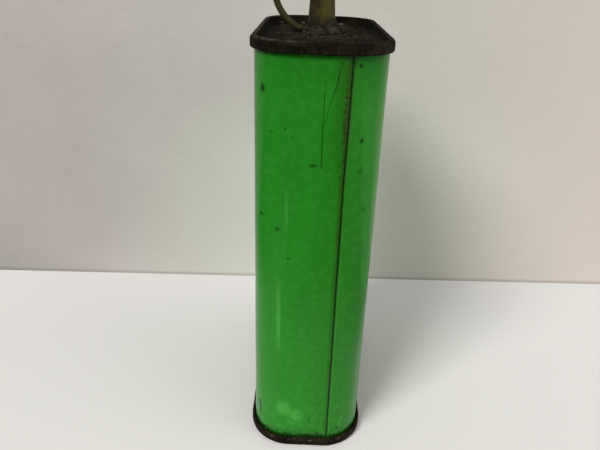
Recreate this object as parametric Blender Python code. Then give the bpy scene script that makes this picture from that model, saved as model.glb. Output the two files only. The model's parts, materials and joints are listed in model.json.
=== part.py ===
"""An oblong tin for household oil, with a snap-in spout and a captive cap.

The tin stands on its bottom seam. The origin is the middle of that base and +Z is up. X runs
across the tin's narrow width and Y along its wide one. The side seam is on the narrow face that
looks to -Y. All sizes are in metres.
"""

import math

import bmesh
import bpy
from mathutils import Matrix, Vector

# Body of the tin, outside sizes
BODY_WIDTH = 0.0340
BODY_DEPTH = 0.0680
TIN_HEIGHT = 0.1256
CORNER_RADIUS = 0.01165
SHEET = 0.00026

# Side seam: a soldered lap on the -Y face
SEAM_X = 0.00665
SEAM_SLIT = 0.00025
LAP = 0.0040
LAP_ROOT = 0.0020
LAP_GAP = 0.00024
JOGGLE_OFFSET = 0.0001
JOGGLE_FLAT = 0.0004
SOLDER_FILM = 0.00012
SOLDER_BEAD = 0.0009
LAP_TO_END = 0.0004

# Double seams that hold the two ends
SEAM_HEIGHT = 0.0033
LAYER_GAP = 0.00012
HOOK_GAP = 0.0002
COMPOUND = 0.00026
COMPOUND_GAP = 0.00012
CHUCK_BEND = 0.00022
CROWN_BEND = 0.00032
FOLD_BEND = 0.00015

# The two pressed ends
COUNTERSINK = 0.0029
FOOT_BEND = 0.00045
PANEL_EDGE = 0.0020
BOSS_RADIUS = 0.0085
BOSS_HEIGHT = 0.0004
BOSS_SLOPE = 0.0006
HOLE_RADIUS = 0.0046

# Spout
FIT_GAP = 0.0003
SEAT_GAP = 0.00015
BARB_RADIUS = 0.0051
BARB_LENGTH = 0.0022
BARB_LEAD = 0.0009
FLANGE_RADIUS = 0.0049
FLANGE_THICKNESS = 0.0005
GROOVE_RADIUS = 0.0035
CONE_FOOT_RADIUS = 0.00395
SPOUT_LENGTH = 0.0290
TIP_RADIUS = 0.0022
TIP_CHAMFER = 0.0003
SPOUT_BORE_RADIUS = 0.0026
BORE_TOP_RADIUS = 0.0013
ORIFICE_RADIUS = 0.0008
ORIFICE_LENGTH = 0.0030
BORE_SHOULDER = 0.0008

# Captive cap: ring, strap and cap
RING_RADIUS = 0.0050
RING_THICKNESS = 0.0011
RING_CLEARANCE = 0.00025
STRAP_RADIUS = 0.00092
STRAP_BOW = 0.0082
STRAP_LEVEL_RUN = 0.0015
STRAP_LOWER_BEND = 0.0078
STRAP_UPPER_BEND = 0.0060
STRAP_END_RUN = 0.0045
CAP_GRIP = 0.0080
CAP_WALL = 0.0010
CAP_ROOF = 0.0013
CAP_DOME = 0.0011
CAP_COLLAR = 0.0004
CAP_COLLAR_HEIGHT = 0.0024
PLUG_GAP = 0.0003
PLUG_LENGTH = 0.0022

# How finely round shapes are divided
CORNER_LIMIT = 0.49
CORNER_STEPS = 6
ROUND_STEPS = 28
STRAP_STEPS = 9
STRAP_SIDES = 3
HOOK_STEPS = 4
BEND_STEPS = 2
STATION_SPACING = 0.00015

# Levels and radii that follow from the sizes above
PANEL_TOP = TIN_HEIGHT - COUNTERSINK
BOSS_TOP = PANEL_TOP + BOSS_HEIGHT
BOSS_UNDERSIDE = BOSS_TOP - SHEET
BARB_TOP = BOSS_UNDERSIDE - SEAT_GAP
SPOUT_FOOT = BARB_TOP - BARB_LENGTH
NECK_RADIUS = HOLE_RADIUS - FIT_GAP
FLANGE_BOTTOM = BOSS_TOP + SEAT_GAP
FLANGE_TOP = FLANGE_BOTTOM + FLANGE_THICKNESS
RING_BOTTOM = FLANGE_TOP + SEAT_GAP
RING_TOP = RING_BOTTOM + RING_THICKNESS
RING_BORE = GROOVE_RADIUS + RING_CLEARANCE
CONE_FOOT = RING_TOP + SEAT_GAP
SPOUT_TIP = CONE_FOOT + SPOUT_LENGTH
CAP_BOTTOM = SPOUT_TIP - CAP_GRIP
CAP_CEILING = SPOUT_TIP + FIT_GAP
CAP_TOP = CAP_CEILING + CAP_ROOF
PLUG_RADIUS = ORIFICE_RADIUS - PLUG_GAP


def clear_scene():
    """Start from an empty scene."""
    for obj in list(bpy.data.objects):
        bpy.data.objects.remove(obj, do_unlink=True)


def finish(name, colour, roughness, metallic=0.0):
    """A plain material with one colour."""
    made = bpy.data.materials.new(name)
    made.use_nodes = True
    shader = made.node_tree.nodes["Principled BSDF"]
    shader.inputs["Base Color"].default_value = (*colour, 1.0)
    shader.inputs["Roughness"].default_value = roughness
    shader.inputs["Metallic"].default_value = metallic
    made.diffuse_color = (*colour, 1.0)
    return made


def skin(build, rings, closed):
    """Join rings of points one after the other, and the last to the first where it is closed."""
    rows = [[build.verts.new(point) for point in ring] for ring in rings]
    pairs = list(zip(rows, rows[1:]))
    if closed:
        pairs.append((rows[-1], rows[0]))
    for lower, upper in pairs:
        count = len(lower)
        for k in range(count):
            follow = (k + 1) % count
            build.faces.new((lower[k], lower[follow], upper[follow], upper[k]))
    return rows


def solid(build, name):
    """Turn the faces outwards and make the mesh."""
    bmesh.ops.recalc_face_normals(build, faces=build.faces[:])
    mesh = bpy.data.meshes.new(name)
    build.to_mesh(mesh)
    build.free()
    return mesh


def loft(name, rings, closed):
    """A solid from rings. A closed loft meets its own start, and an open one gets two caps."""
    build = bmesh.new()
    rows = skin(build, rings, closed)
    if not closed:
        build.faces.new(rows[0])
        build.faces.new(rows[-1])
    return solid(build, name)


def piece(name, mesh, material, origin=(0.0, 0.0, 0.0), parent=None, sharp_angle=40.0):
    """Put a mesh made in the tin's frame into the scene, with its origin at the given place."""
    base = Vector(origin)
    mesh.transform(Matrix.Translation(-base))
    mesh.shade_smooth()
    mesh.set_sharp_from_angle(angle=math.radians(sharp_angle))
    mesh.materials.append(material)
    obj = bpy.data.objects.new(name, mesh)
    bpy.context.collection.objects.link(obj)
    obj.location = base
    if parent:
        obj.parent = parent
        obj.location = base - parent.location
    return obj


def hide_tool(obj):
    """Mark a shape that only shapes another one."""
    obj.hide_render = True
    obj.display_type = "WIRE"


# Plan of the tin: stations along the body's outline


def corner_radius():
    """The corner radius, which the two flat halves of a face leave room for."""
    return min(CORNER_RADIUS, CORNER_LIMIT * BODY_WIDTH, CORNER_LIMIT * BODY_DEPTH)


def outline_runs():
    """The outline's straight runs and corners in order, from the middle of the -Y face towards +X."""
    radius = corner_radius()
    half_x = BODY_WIDTH / 2 - radius
    half_y = BODY_DEPTH / 2 - radius
    quarter = math.pi / 2 * radius
    return [
        ("line", Vector((0, -BODY_DEPTH / 2)), Vector((1, 0)), half_x),
        ("arc", Vector((half_x, -half_y)), -90.0, quarter),
        ("line", Vector((BODY_WIDTH / 2, -half_y)), Vector((0, 1)), 2 * half_y),
        ("arc", Vector((half_x, half_y)), 0.0, quarter),
        ("line", Vector((half_x, BODY_DEPTH / 2)), Vector((-1, 0)), 2 * half_x),
        ("arc", Vector((-half_x, half_y)), 90.0, quarter),
        ("line", Vector((-BODY_WIDTH / 2, half_y)), Vector((0, -1)), 2 * half_y),
        ("arc", Vector((-half_x, -half_y)), 180.0, quarter),
        ("line", Vector((-half_x, -BODY_DEPTH / 2)), Vector((1, 0)), half_x),
    ]


def outline_length():
    """The distance once round the body."""
    return sum(run[3] for run in outline_runs())


def station(distance):
    """The outline's point and outward direction at a distance from the middle of the -Y face."""
    left = distance % outline_length()
    for kind, start, turn, length in outline_runs():
        if left <= length:
            break
        left -= length
    if kind == "line":
        return start + turn * left, Vector((turn.y, -turn.x))
    angle = math.radians(turn) + left / corner_radius()
    outward = Vector((math.cos(angle), math.sin(angle)))
    return start + outward * corner_radius(), outward


def distance_of(x):
    """How far along the outline the -Y face reaches a given X."""
    flat = BODY_WIDTH / 2 - corner_radius()
    if x <= flat:
        return x
    return flat + corner_radius() * math.asin((x - flat) / corner_radius())


SEAM_AT = distance_of(SEAM_X)
RIGHT_EDGE = SEAM_AT + SEAM_SLIT / 2
LEFT_EDGE = outline_length() + SEAM_AT - SEAM_SLIT / 2
LAP_END = LEFT_EDGE - LAP
BEAD_START = LAP_END - SEAT_GAP
BEAD_FULL = BEAD_START - SEAT_GAP
BEAD_END = BEAD_FULL - SOLDER_BEAD
ROOT_START = RIGHT_EDGE + JOGGLE_OFFSET
ROOT_FLAT = ROOT_START + JOGGLE_FLAT
ROOT_END = RIGHT_EDGE + LAP_ROOT


def station_distances():
    """Every station round the tin, from the seam's right edge to its left edge."""
    marks = [RIGHT_EDGE, ROOT_START, ROOT_FLAT, ROOT_END]
    marks += [BEAD_END, BEAD_FULL, BEAD_START, LAP_END, LEFT_EDGE]
    places = list(marks)
    reached = 0.0
    for kind, _, _, length in outline_runs():
        if kind == "arc":
            for step in range(CORNER_STEPS + 1):
                place = reached + length * step / CORNER_STEPS
                if place < RIGHT_EDGE:
                    place += outline_length()
                clear = all(abs(place - mark) > STATION_SPACING for mark in marks)
                if clear and place < LEFT_EDGE:
                    places.append(place)
        reached += length
    return sorted(places)


STATIONS = station_distances()


def beside(distance, outward, height):
    """A point at a distance along the outline, set off outwards from the body's face."""
    place, direction = station(distance)
    moved = place + direction * outward
    return Vector((moved.x, moved.y, height))


def around(outward, height):
    """A loop round the whole tin at one offset and one height."""
    return [beside(distance, outward, height) for distance in STATIONS]


def circle(radius, height):
    """A level circle round the spout's axis."""
    loop = []
    for k in range(ROUND_STEPS):
        angle = 2 * math.pi * k / ROUND_STEPS
        loop.append(Vector((radius * math.cos(angle), radius * math.sin(angle), height)))
    return loop


# Sections through the sheet: outward from the body's face, and down from the seam's crown


def arc(centre, radius, start, stop, steps=BEND_STEPS):
    """Points along a bend, in degrees. In a seam's section, 90 points down the tin."""
    points = []
    for step in range(steps + 1):
        angle = math.radians(start + (stop - start) * step / steps)
        points.append((centre[0] + radius * math.cos(angle), centre[1] + radius * math.sin(angle)))
    return points


def thicken(path, thickness):
    """The closed outline of a sheet whose middle follows the path."""
    sides = ([], [])
    for k, point in enumerate(path):
        here = Vector(point)
        before = (here - Vector(path[k - 1])).normalized() if k else None
        after = (Vector(path[k + 1]) - here).normalized() if k + 1 < len(path) else None
        before = before or after
        after = after or before
        middle = (before + after).normalized()
        normal = Vector((-middle.y, middle.x))
        reach = thickness / 2 / normal.dot(Vector((-after.y, after.x)))
        sides[0].append(tuple(here + normal * reach))
        sides[1].append(tuple(here - normal * reach))
    return sides[0] + sides[1][::-1]


HALF_SHEET = SHEET / 2
CHUCK_WALL = -LAYER_GAP - SHEET - HALF_SHEET
COVER_HOOK = LAYER_GAP + HALF_SHEET
BODY_HOOK = 2 * LAYER_GAP + SHEET + HALF_SHEET
OUTER_WALL = 3 * LAYER_GAP + 2 * SHEET + HALF_SHEET
HOOK_ARCH_RADIUS = (BODY_HOOK + HALF_SHEET) / 2
HOOK_ARCH_TOP = SHEET + 2 * COMPOUND_GAP + COMPOUND
HOOK_ARCH_CENTRE = HOOK_ARCH_TOP + HALF_SHEET + HOOK_ARCH_RADIUS
HOOK_END = SEAM_HEIGHT - SHEET - HOOK_GAP


def end_path():
    """The middle of an end's sheet, from its panel over the crown and in to the cover hook."""
    panel = COUNTERSINK + HALF_SHEET
    foot = FOOT_BEND + HALF_SHEET
    chuck = CHUCK_BEND + HALF_SHEET
    crown = CROWN_BEND + HALF_SHEET
    fold = FOLD_BEND + HALF_SHEET
    bottom = SEAM_HEIGHT - HALF_SHEET
    path = [(CHUCK_WALL - foot - PANEL_EDGE, panel)]
    path += arc((CHUCK_WALL - foot, panel - foot), foot, 90, 0)
    path += arc((CHUCK_WALL + chuck, HALF_SHEET + chuck), chuck, 180, 270)
    path += arc((OUTER_WALL - crown, HALF_SHEET + crown), crown, 270, 360, BEND_STEPS + 1)
    path += arc((OUTER_WALL - fold, bottom - fold), fold, 0, 90)
    path += arc((COVER_HOOK + fold, bottom - fold), fold, 90, 180)
    path.append((COVER_HOOK, HOOK_ARCH_CENTRE))
    return path


def hook_path():
    """The middle of the body's sheet in a seam, from the hook's end over to the wall."""
    arch = arc((COVER_HOOK, HOOK_ARCH_CENTRE), HOOK_ARCH_RADIUS, 360, 180, HOOK_STEPS)
    return [(BODY_HOOK, HOOK_END)] + arch


def top_level(down):
    """The height of a place in the top seam."""
    return TIN_HEIGHT - down


def bottom_level(down):
    """The height of the same place in the bottom seam, which is its mirror image."""
    return down


# The tin's pieces


def make_body_shell(material):
    """The printed sheet: bent round to a slit at the seam, hooked into both ends, with its lap."""
    hook = hook_path()
    path = [(out, top_level(down)) for out, down in hook]
    path += [(out, bottom_level(down)) for out, down in hook[::-1]]
    section = thicken(path, SHEET)
    rings = [[beside(distance, out, height) for out, height in section] for distance in STATIONS]
    shell = piece("body_shell", loft("body_shell", rings, closed=False), material)

    lap = piece("lap_tongue", loft("lap_tongue", lap_rings(), closed=False), material)
    hide_tool(lap)
    join = shell.modifiers.new("join the lap", "BOOLEAN")
    join.operation = "UNION"
    join.solver = "EXACT"
    join.object = lap
    return shell


def lap_levels():
    """The lap stops short of both ends' panels."""
    reach = COUNTERSINK + SHEET + LAP_TO_END
    return bottom_level(reach), top_level(reach)


def lap_rings():
    """The lap under the left edge. It steps in from the sheet's right side and is one sheet thick."""
    top = -SHEET - LAP_GAP
    inside = top - SHEET
    root = -HALF_SHEET
    rings = [
        sheet_ring(ROOT_END, root, root - HALF_SHEET / 2),
        sheet_ring(ROOT_FLAT, root, inside),
        sheet_ring(ROOT_START, root, inside),
        sheet_ring(RIGHT_EDGE, top, inside),
    ]
    under = [distance for distance in STATIONS if distance >= LAP_END]
    rings += [sheet_ring(distance, top, inside) for distance in reversed(under)]
    return rings


def sheet_ring(distance, outer, inner):
    """A four-cornered section across the lap at one station."""
    low, high = lap_levels()
    return [
        beside(distance, outer, low),
        beside(distance, outer, high),
        beside(distance, inner, high),
        beside(distance, inner, low),
    ]


def make_side_seam_solder(material):
    """Solder: a film in the lap and a bead along its free edge, on the inside."""
    middle = -SHEET - LAP_GAP / 2
    outer = middle + SOLDER_FILM / 2
    inner = middle - SOLDER_FILM / 2
    bead = -2 * SHEET - LAP_GAP
    film = [distance for distance in STATIONS if distance >= BEAD_START]
    rings = [sheet_ring(distance, outer, inner) for distance in reversed(film)]
    rings.append(sheet_ring(BEAD_FULL, outer, bead))
    rings.append(sheet_ring(BEAD_END, outer, inner))
    return piece("side_seam_solder", loft("side_seam_solder", rings, closed=False), material)


def loop_edges(build, row):
    """The edges of one ring of a skin."""
    return [build.edges.get((vert, row[k - 1])) for k, vert in enumerate(row)]


def make_top_end(material):
    """The lid: double seam, countersunk panel, raised boss and the spout's hole."""
    upper, lower = end_faces()
    boss = [
        (BOSS_RADIUS + BOSS_SLOPE, PANEL_TOP),
        (BOSS_RADIUS, BOSS_TOP),
        (HOLE_RADIUS, BOSS_TOP),
        (HOLE_RADIUS, BOSS_UNDERSIDE),
        (BOSS_RADIUS, BOSS_UNDERSIDE),
        (BOSS_RADIUS + BOSS_SLOPE, PANEL_TOP - SHEET),
    ]
    build = bmesh.new()
    seam_rows = skin(build, [around(out, top_level(down)) for out, down in upper + lower], closed=False)
    boss_rows = skin(build, [circle(radius, height) for radius, height in boss], closed=False)
    for side in (0, -1):
        rim = loop_edges(build, seam_rows[side]) + loop_edges(build, boss_rows[side])
        bmesh.ops.triangle_fill(build, use_beauty=True, edges=rim, normal=(0.0, 0.0, 1.0))
    return piece("top_end", solid(build, "top_end"), material)


def end_faces():
    """An end's outside face in section from the panel to the hook, and its inside face back again."""
    section = thicken(end_path(), SHEET)
    half = len(section) // 2
    first, second = section[:half], section[half:]
    if first[0][1] < second[-1][1]:
        return first, second
    return second[::-1], first[::-1]


def make_bottom_end(material):
    """The base: the same seam and countersink, with a plain panel."""
    outside, inside = end_faces()
    rings = [around(out, bottom_level(down)) for out, down in outside + inside]
    return piece("bottom_end", loft("bottom_end", rings, closed=False), material)


def make_compound(name, level, material):
    """The ring of sealing compound that lies between the end and the body's hook."""
    first = SHEET + COMPOUND_GAP
    last = first + COMPOUND
    corners = [(-SHEET, last), (-SHEET, first), (BODY_HOOK, first), (BODY_HOOK, last)]
    rings = [around(out, level(down)) for out, down in corners]
    return piece(name, loft(name, rings, closed=True), material)


def cone_radius(height):
    """The spout's outer radius at a height above its shoulder."""
    share = (height - CONE_FOOT) / SPOUT_LENGTH
    return CONE_FOOT_RADIUS + (TIP_RADIUS - CONE_FOOT_RADIUS) * share


def make_nozzle(material):
    """The spout: barb, neck, flange, groove for the ring, tapered tube and its bore."""
    orifice_foot = SPOUT_TIP - ORIFICE_LENGTH
    profile = [
        (SPOUT_BORE_RADIUS, SPOUT_FOOT),
        (BARB_RADIUS - BARB_LEAD, SPOUT_FOOT),
        (BARB_RADIUS, BARB_TOP - BARB_LEAD),
        (BARB_RADIUS, BARB_TOP),
        (NECK_RADIUS, BARB_TOP),
        (NECK_RADIUS, FLANGE_BOTTOM),
        (FLANGE_RADIUS, FLANGE_BOTTOM),
        (FLANGE_RADIUS, FLANGE_TOP),
        (GROOVE_RADIUS, FLANGE_TOP),
        (GROOVE_RADIUS, CONE_FOOT),
        (CONE_FOOT_RADIUS, CONE_FOOT),
        (cone_radius(SPOUT_TIP - TIP_CHAMFER), SPOUT_TIP - TIP_CHAMFER),
        (TIP_RADIUS - TIP_CHAMFER, SPOUT_TIP),
        (ORIFICE_RADIUS, SPOUT_TIP),
        (ORIFICE_RADIUS, orifice_foot),
        (BORE_TOP_RADIUS, orifice_foot - BORE_SHOULDER),
        (SPOUT_BORE_RADIUS, CONE_FOOT),
    ]
    rings = [circle(radius, height) for radius, height in profile]
    mesh = loft("nozzle", rings, closed=True)
    return piece("nozzle", mesh, material, origin=(0.0, 0.0, BOSS_TOP))


def make_tether_axis():
    """The line round which the captive ring turns."""
    axis = bpy.data.objects.new("tether_axis", None)
    bpy.context.collection.objects.link(axis)
    axis.location = (0.0, 0.0, RING_BOTTOM)
    return axis


def make_strap_ring(material, parent):
    """The flat ring that turns in the groove at the spout's foot."""
    profile = [
        (RING_BORE, RING_BOTTOM),
        (RING_RADIUS, RING_BOTTOM),
        (RING_RADIUS, RING_TOP),
        (RING_BORE, RING_TOP),
    ]
    rings = [circle(radius, height) for radius, height in profile]
    mesh = loft("strap_ring", rings, closed=True)
    return piece("strap_ring", mesh, material, origin=(0.0, 0.0, RING_BOTTOM), parent=parent)


def cap_low_radius():
    """The cap's outer radius just above its collar."""
    return cone_radius(CAP_BOTTOM) + FIT_GAP + CAP_WALL


def strap_ends():
    """Where the strap leaves the ring and where it reaches the cap's collar."""
    start_x = -(RING_RADIUS + FIT_GAP)
    stop_x = -(cap_low_radius() + CAP_COLLAR + FIT_GAP)
    start = Vector((start_x, 0.0, (RING_BOTTOM + RING_TOP) / 2))
    stop = Vector((stop_x, 0.0, CAP_BOTTOM + CAP_COLLAR_HEIGHT / 2))
    return start, stop


def make_cap_strap(material, parent):
    """The strap: out level from the ring, up in a bow, and level again into the cap."""
    start, stop = strap_ends()
    bow = Vector((start.x - STRAP_BOW, 0.0, (start.z + stop.z) / 2))
    outwards = Vector((-1.0, 0.0, 0.0))
    up = Vector((0.0, 0.0, 1.0))
    curve = bpy.data.curves.new("cap_strap", "CURVE")
    curve.dimensions = "3D"
    curve.bevel_depth = STRAP_RADIUS
    curve.bevel_resolution = STRAP_SIDES
    curve.resolution_u = STRAP_STEPS
    curve.use_fill_caps = True
    route = curve.splines.new("BEZIER")
    route.bezier_points.add(2)
    knots = [
        (start, start - outwards * STRAP_LEVEL_RUN, start + outwards * STRAP_LEVEL_RUN),
        (bow, bow - up * STRAP_LOWER_BEND, bow + up * STRAP_UPPER_BEND),
        (stop, stop + outwards * STRAP_END_RUN, stop - outwards * STRAP_END_RUN),
    ]
    for knot, (place, before, after) in zip(route.bezier_points, knots):
        knot.handle_left_type = "FREE"
        knot.handle_right_type = "FREE"
        knot.co = place - parent.location
        knot.handle_left = before - parent.location
        knot.handle_right = after - parent.location
    route.use_smooth = True
    curve.materials.append(material)
    strap = bpy.data.objects.new("cap_strap", curve)
    bpy.context.collection.objects.link(strap)
    strap.parent = parent
    return strap


def make_cap(material, parent):
    """The cap: a sleeve over the spout's tip, with a collar, a roof and a plug for the orifice."""
    bore_low = cone_radius(CAP_BOTTOM) + FIT_GAP
    bore_high = TIP_RADIUS + FIT_GAP
    collar = cap_low_radius() + CAP_COLLAR
    crown = bore_high + CAP_WALL
    collar_top = CAP_BOTTOM + CAP_COLLAR_HEIGHT
    profile = arc((crown - CAP_DOME, CAP_TOP - CAP_DOME), CAP_DOME, 90, 0)
    profile += [
        (cap_low_radius(), collar_top),
        (collar, collar_top),
        (collar, CAP_BOTTOM),
        (bore_low, CAP_BOTTOM),
        (bore_high, CAP_CEILING),
        (PLUG_RADIUS, CAP_CEILING),
        (PLUG_RADIUS, CAP_CEILING - PLUG_LENGTH),
    ]
    rings = [circle(radius, height) for radius, height in profile]
    mesh = loft("cap", rings, closed=False)
    return piece("cap", mesh, material, origin=(0.0, 0.0, CAP_BOTTOM), parent=parent)


def build():
    """Make every piece of the tin."""
    clear_scene()
    make_body_shell(finish("green printed tinplate", (0.016, 0.178, 0.014), 0.32, 0.1))
    make_side_seam_solder(finish("solder", (0.30, 0.29, 0.27), 0.45, 0.9))
    make_top_end(finish("dull lid tinplate", (0.030, 0.024, 0.017), 0.55, 0.6))
    make_bottom_end(finish("dull base tinplate", (0.026, 0.021, 0.015), 0.55, 0.6))
    make_compound("top_seam_compound", top_level, finish("top compound", (0.22, 0.20, 0.17), 0.8))
    make_compound("bottom_seam_compound", bottom_level, finish("base compound", (0.21, 0.19, 0.16), 0.8))
    make_nozzle(finish("aged spout polythene", (0.10, 0.082, 0.022), 0.45))
    axis = make_tether_axis()
    make_strap_ring(finish("aged ring polythene", (0.06, 0.055, 0.030), 0.55), axis)
    make_cap_strap(finish("aged strap polythene", (0.11, 0.10, 0.045), 0.5), axis)
    make_cap(finish("aged cap polythene", (0.12, 0.10, 0.035), 0.5), axis)


build()
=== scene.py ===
# %% [markdown]
# # An oblong oil tin, dressed around its frame
#
# The tin is one green printed sheet, closed by two dark seamed ends. A plastic spout snaps into the
# lid, and a captive cap hangs on a thin strap from a ring at the spout's foot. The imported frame
# already holds every piece at its real size. This script gives each piece a finer surface and a
# worn, oily finish, and then sets up a plain studio.

# %% Load the frame
import json
import math
from functools import reduce

import bmesh
import bpy
import numpy as np
from mathutils import Matrix, Vector, noise

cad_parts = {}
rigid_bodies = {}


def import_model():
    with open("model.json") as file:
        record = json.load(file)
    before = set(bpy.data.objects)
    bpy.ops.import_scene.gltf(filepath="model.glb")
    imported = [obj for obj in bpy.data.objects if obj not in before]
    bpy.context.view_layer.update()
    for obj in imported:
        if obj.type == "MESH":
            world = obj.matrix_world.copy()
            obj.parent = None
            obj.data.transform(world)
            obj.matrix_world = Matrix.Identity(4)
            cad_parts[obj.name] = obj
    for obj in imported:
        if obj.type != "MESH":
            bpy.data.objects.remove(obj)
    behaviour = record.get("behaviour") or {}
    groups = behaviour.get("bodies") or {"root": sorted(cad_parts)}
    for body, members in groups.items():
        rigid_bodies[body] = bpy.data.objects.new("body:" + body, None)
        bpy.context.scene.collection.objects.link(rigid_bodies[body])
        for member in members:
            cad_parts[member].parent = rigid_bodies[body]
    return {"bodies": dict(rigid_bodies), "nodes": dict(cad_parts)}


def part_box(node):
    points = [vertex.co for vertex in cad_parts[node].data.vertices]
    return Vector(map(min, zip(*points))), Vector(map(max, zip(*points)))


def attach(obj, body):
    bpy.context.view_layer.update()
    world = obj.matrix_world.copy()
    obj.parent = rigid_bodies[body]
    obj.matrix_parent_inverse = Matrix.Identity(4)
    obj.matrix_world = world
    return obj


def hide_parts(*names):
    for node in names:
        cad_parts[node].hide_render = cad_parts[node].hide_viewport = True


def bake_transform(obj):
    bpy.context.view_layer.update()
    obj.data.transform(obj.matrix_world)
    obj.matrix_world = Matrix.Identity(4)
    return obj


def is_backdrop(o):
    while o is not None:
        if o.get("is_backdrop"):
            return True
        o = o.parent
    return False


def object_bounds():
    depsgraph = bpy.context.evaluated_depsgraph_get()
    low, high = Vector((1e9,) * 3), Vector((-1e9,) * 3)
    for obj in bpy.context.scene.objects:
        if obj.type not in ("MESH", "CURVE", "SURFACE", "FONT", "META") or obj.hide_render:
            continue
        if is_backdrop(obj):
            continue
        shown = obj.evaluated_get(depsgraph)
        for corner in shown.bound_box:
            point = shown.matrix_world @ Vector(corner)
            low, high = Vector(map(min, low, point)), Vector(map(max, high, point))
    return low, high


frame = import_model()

CAD_LOW, CAD_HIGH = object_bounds()
MM = 0.001
TIN, TETHER, CAP = "tin", "tether", "cap"


def in_mm(length):
    return round(length / MM, 2)


print("bodies", sorted(frame["bodies"]), "box", [in_mm(c) for c in CAD_HIGH - CAD_LOW])

# %% [markdown]
# ## Sizes
#
# The frame's boxes give the big sizes, so they are read from it and not typed again. What a box
# can't tell, such as the thickness of the sheet or how the layers of a double seam lie, is named
# here in millimetres. The slit of the side seam is straight up to LEAN_FROM, and leans to the right
# by SEAM_LEAN from there to the rim.

# %% Sizes of the tin
RIM_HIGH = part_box("top_end")[1]
TIN_HEIGHT = RIM_HIGH.z
SEAM_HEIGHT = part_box("bottom_end")[1].z
SHEET = 0.26 * MM
HALF_SHEET = SHEET / 2
LAYER_GAP = 0.12 * MM
SEAM_OVERHANG = 3 * LAYER_GAP + 3 * SHEET
HALF_WIDTH = RIM_HIGH.x - SEAM_OVERHANG
HALF_DEPTH = RIM_HIGH.y - SEAM_OVERHANG
CORNER_RADIUS = 11.65 * MM
SEAM_X = 6.70 * MM
SEAM_LEAN = 0.50 * MM
LEAN_FROM = 82 * MM
SLIT = 0.15 * MM
COUNTERSINK = 2.9 * MM
PANEL_TOP = TIN_HEIGHT - COUNTERSINK
BOSS_RADIUS = 8.5 * MM
BOSS_SLOPE = 0.6 * MM
BOSS_HEIGHT = 0.4 * MM
HOLE_RADIUS = 4.6 * MM
print("body", in_mm(2 * HALF_WIDTH), "by", in_mm(2 * HALF_DEPTH), "by", in_mm(TIN_HEIGHT))

# %% [markdown]
# ## Stations round the body
#
# Every sheet piece follows the same rounded oblong. A station is a place on that outline with the
# direction that looks outwards there. Once the stations exist, a whole ring of points is one sum:
# the place, plus the direction times how far out the ring lies.

# %% Stations
CORNER_STEPS = 18
FLAT_STEP = 1.3 * MM
FINE_CORNER_STEPS = 30
FINE_FLAT_STEP = 0.62 * MM


def outline_runs():
    """The straight runs and quarter bends in order, from the middle of the -Y face towards +X."""
    x = HALF_WIDTH - CORNER_RADIUS
    y = HALF_DEPTH - CORNER_RADIUS
    bend = math.pi / 2 * CORNER_RADIUS
    return [
        ("line", (0, -HALF_DEPTH), (1, 0), x),
        ("bend", (x, -y), -90, bend),
        ("line", (HALF_WIDTH, -y), (0, 1), 2 * y),
        ("bend", (x, y), 0, bend),
        ("line", (x, HALF_DEPTH), (-1, 0), 2 * x),
        ("bend", (-x, y), 90, bend),
        ("line", (-HALF_WIDTH, y), (0, -1), 2 * y),
        ("bend", (-x, -y), 180, bend),
        ("line", (-x, -HALF_DEPTH), (1, 0), x),
    ]


OUTLINE = sum(run[3] for run in outline_runs())


def station(distance):
    """The place and the outward direction at a distance along the outline."""
    left = distance % OUTLINE
    for kind, start, turn, length in outline_runs():
        if left <= length:
            break
        left -= length
    if kind == "line":
        return (start[0] + turn[0] * left, start[1] + turn[1] * left), (turn[1], -turn[0])
    angle = math.radians(turn) + left / CORNER_RADIUS
    out = (math.cos(angle), math.sin(angle))
    return (start[0] + out[0] * CORNER_RADIUS, start[1] + out[1] * CORNER_RADIUS), out


def even_distances(flat_step, corner_steps):
    """Distances all the way round, closer together in the bends."""
    places = []
    reached = 0.0
    for kind, _, _, length in outline_runs():
        steps = corner_steps if kind == "bend" else max(1, round(length / flat_step))
        places += [reached + length * k / steps for k in range(steps)]
        reached += length
    return places


def raised(flat, height):
    """Places on the plane, lifted to one height or each to its own."""
    return np.column_stack([flat, np.broadcast_to(height, len(flat))])


class Stations:
    """A row of stations that can be set off outwards and up as a whole."""

    def __init__(self, distances):
        self.distances = np.array(distances)
        found = [station(d) for d in distances]
        self.place = np.array([f[0] for f in found])
        self.out = np.array([f[1] for f in found])

    def ring(self, outward, height):
        return raised(self.place + self.out * np.reshape(outward, (-1, 1)), height)


ROUND = Stations(even_distances(FLAT_STEP, CORNER_STEPS))
FINE = Stations(even_distances(FINE_FLAT_STEP, FINE_CORNER_STEPS))
print("outline", in_mm(OUTLINE), "mm in", len(ROUND.distances), "and", len(FINE.distances), "stations")

# %% [markdown]
# ## Skins
#
# A skin joins rows of points with quads. It is the plain tool behind every lofted and turned piece
# below. The same function closes the ends, turns the faces outwards and marks which edges stay
# sharp, so that no piece forgets one of those steps.

# %% A skin from rows of points
SMOOTH_ANGLE = 38.0


def skin(name, rows, loop=False, sharp=SMOOTH_ANGLE):
    """A closed mesh from equal closed rows. A loop joins its last row to its first, else both are capped."""
    rows = np.asarray(rows)
    count, size = rows.shape[:2]
    faces = []
    for i in range(count if loop else count - 1):
        a, b = i * size, (i + 1) % count * size
        for k in range(size):
            n = (k + 1) % size
            faces.append((a + k, a + n, b + n, b + k))
    if not loop:
        faces += [tuple(range(size)), tuple(range((count - 1) * size, count * size))]
    mesh = bpy.data.meshes.new(name)
    mesh.from_pydata(rows.reshape(-1, 3).tolist(), [], faces)
    build = bmesh.new()
    build.from_mesh(mesh)
    bmesh.ops.recalc_face_normals(build, faces=build.faces[:])
    build.to_mesh(mesh)
    build.free()
    mesh.shade_smooth()
    mesh.set_sharp_from_angle(angle=math.radians(sharp))
    return mesh


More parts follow.
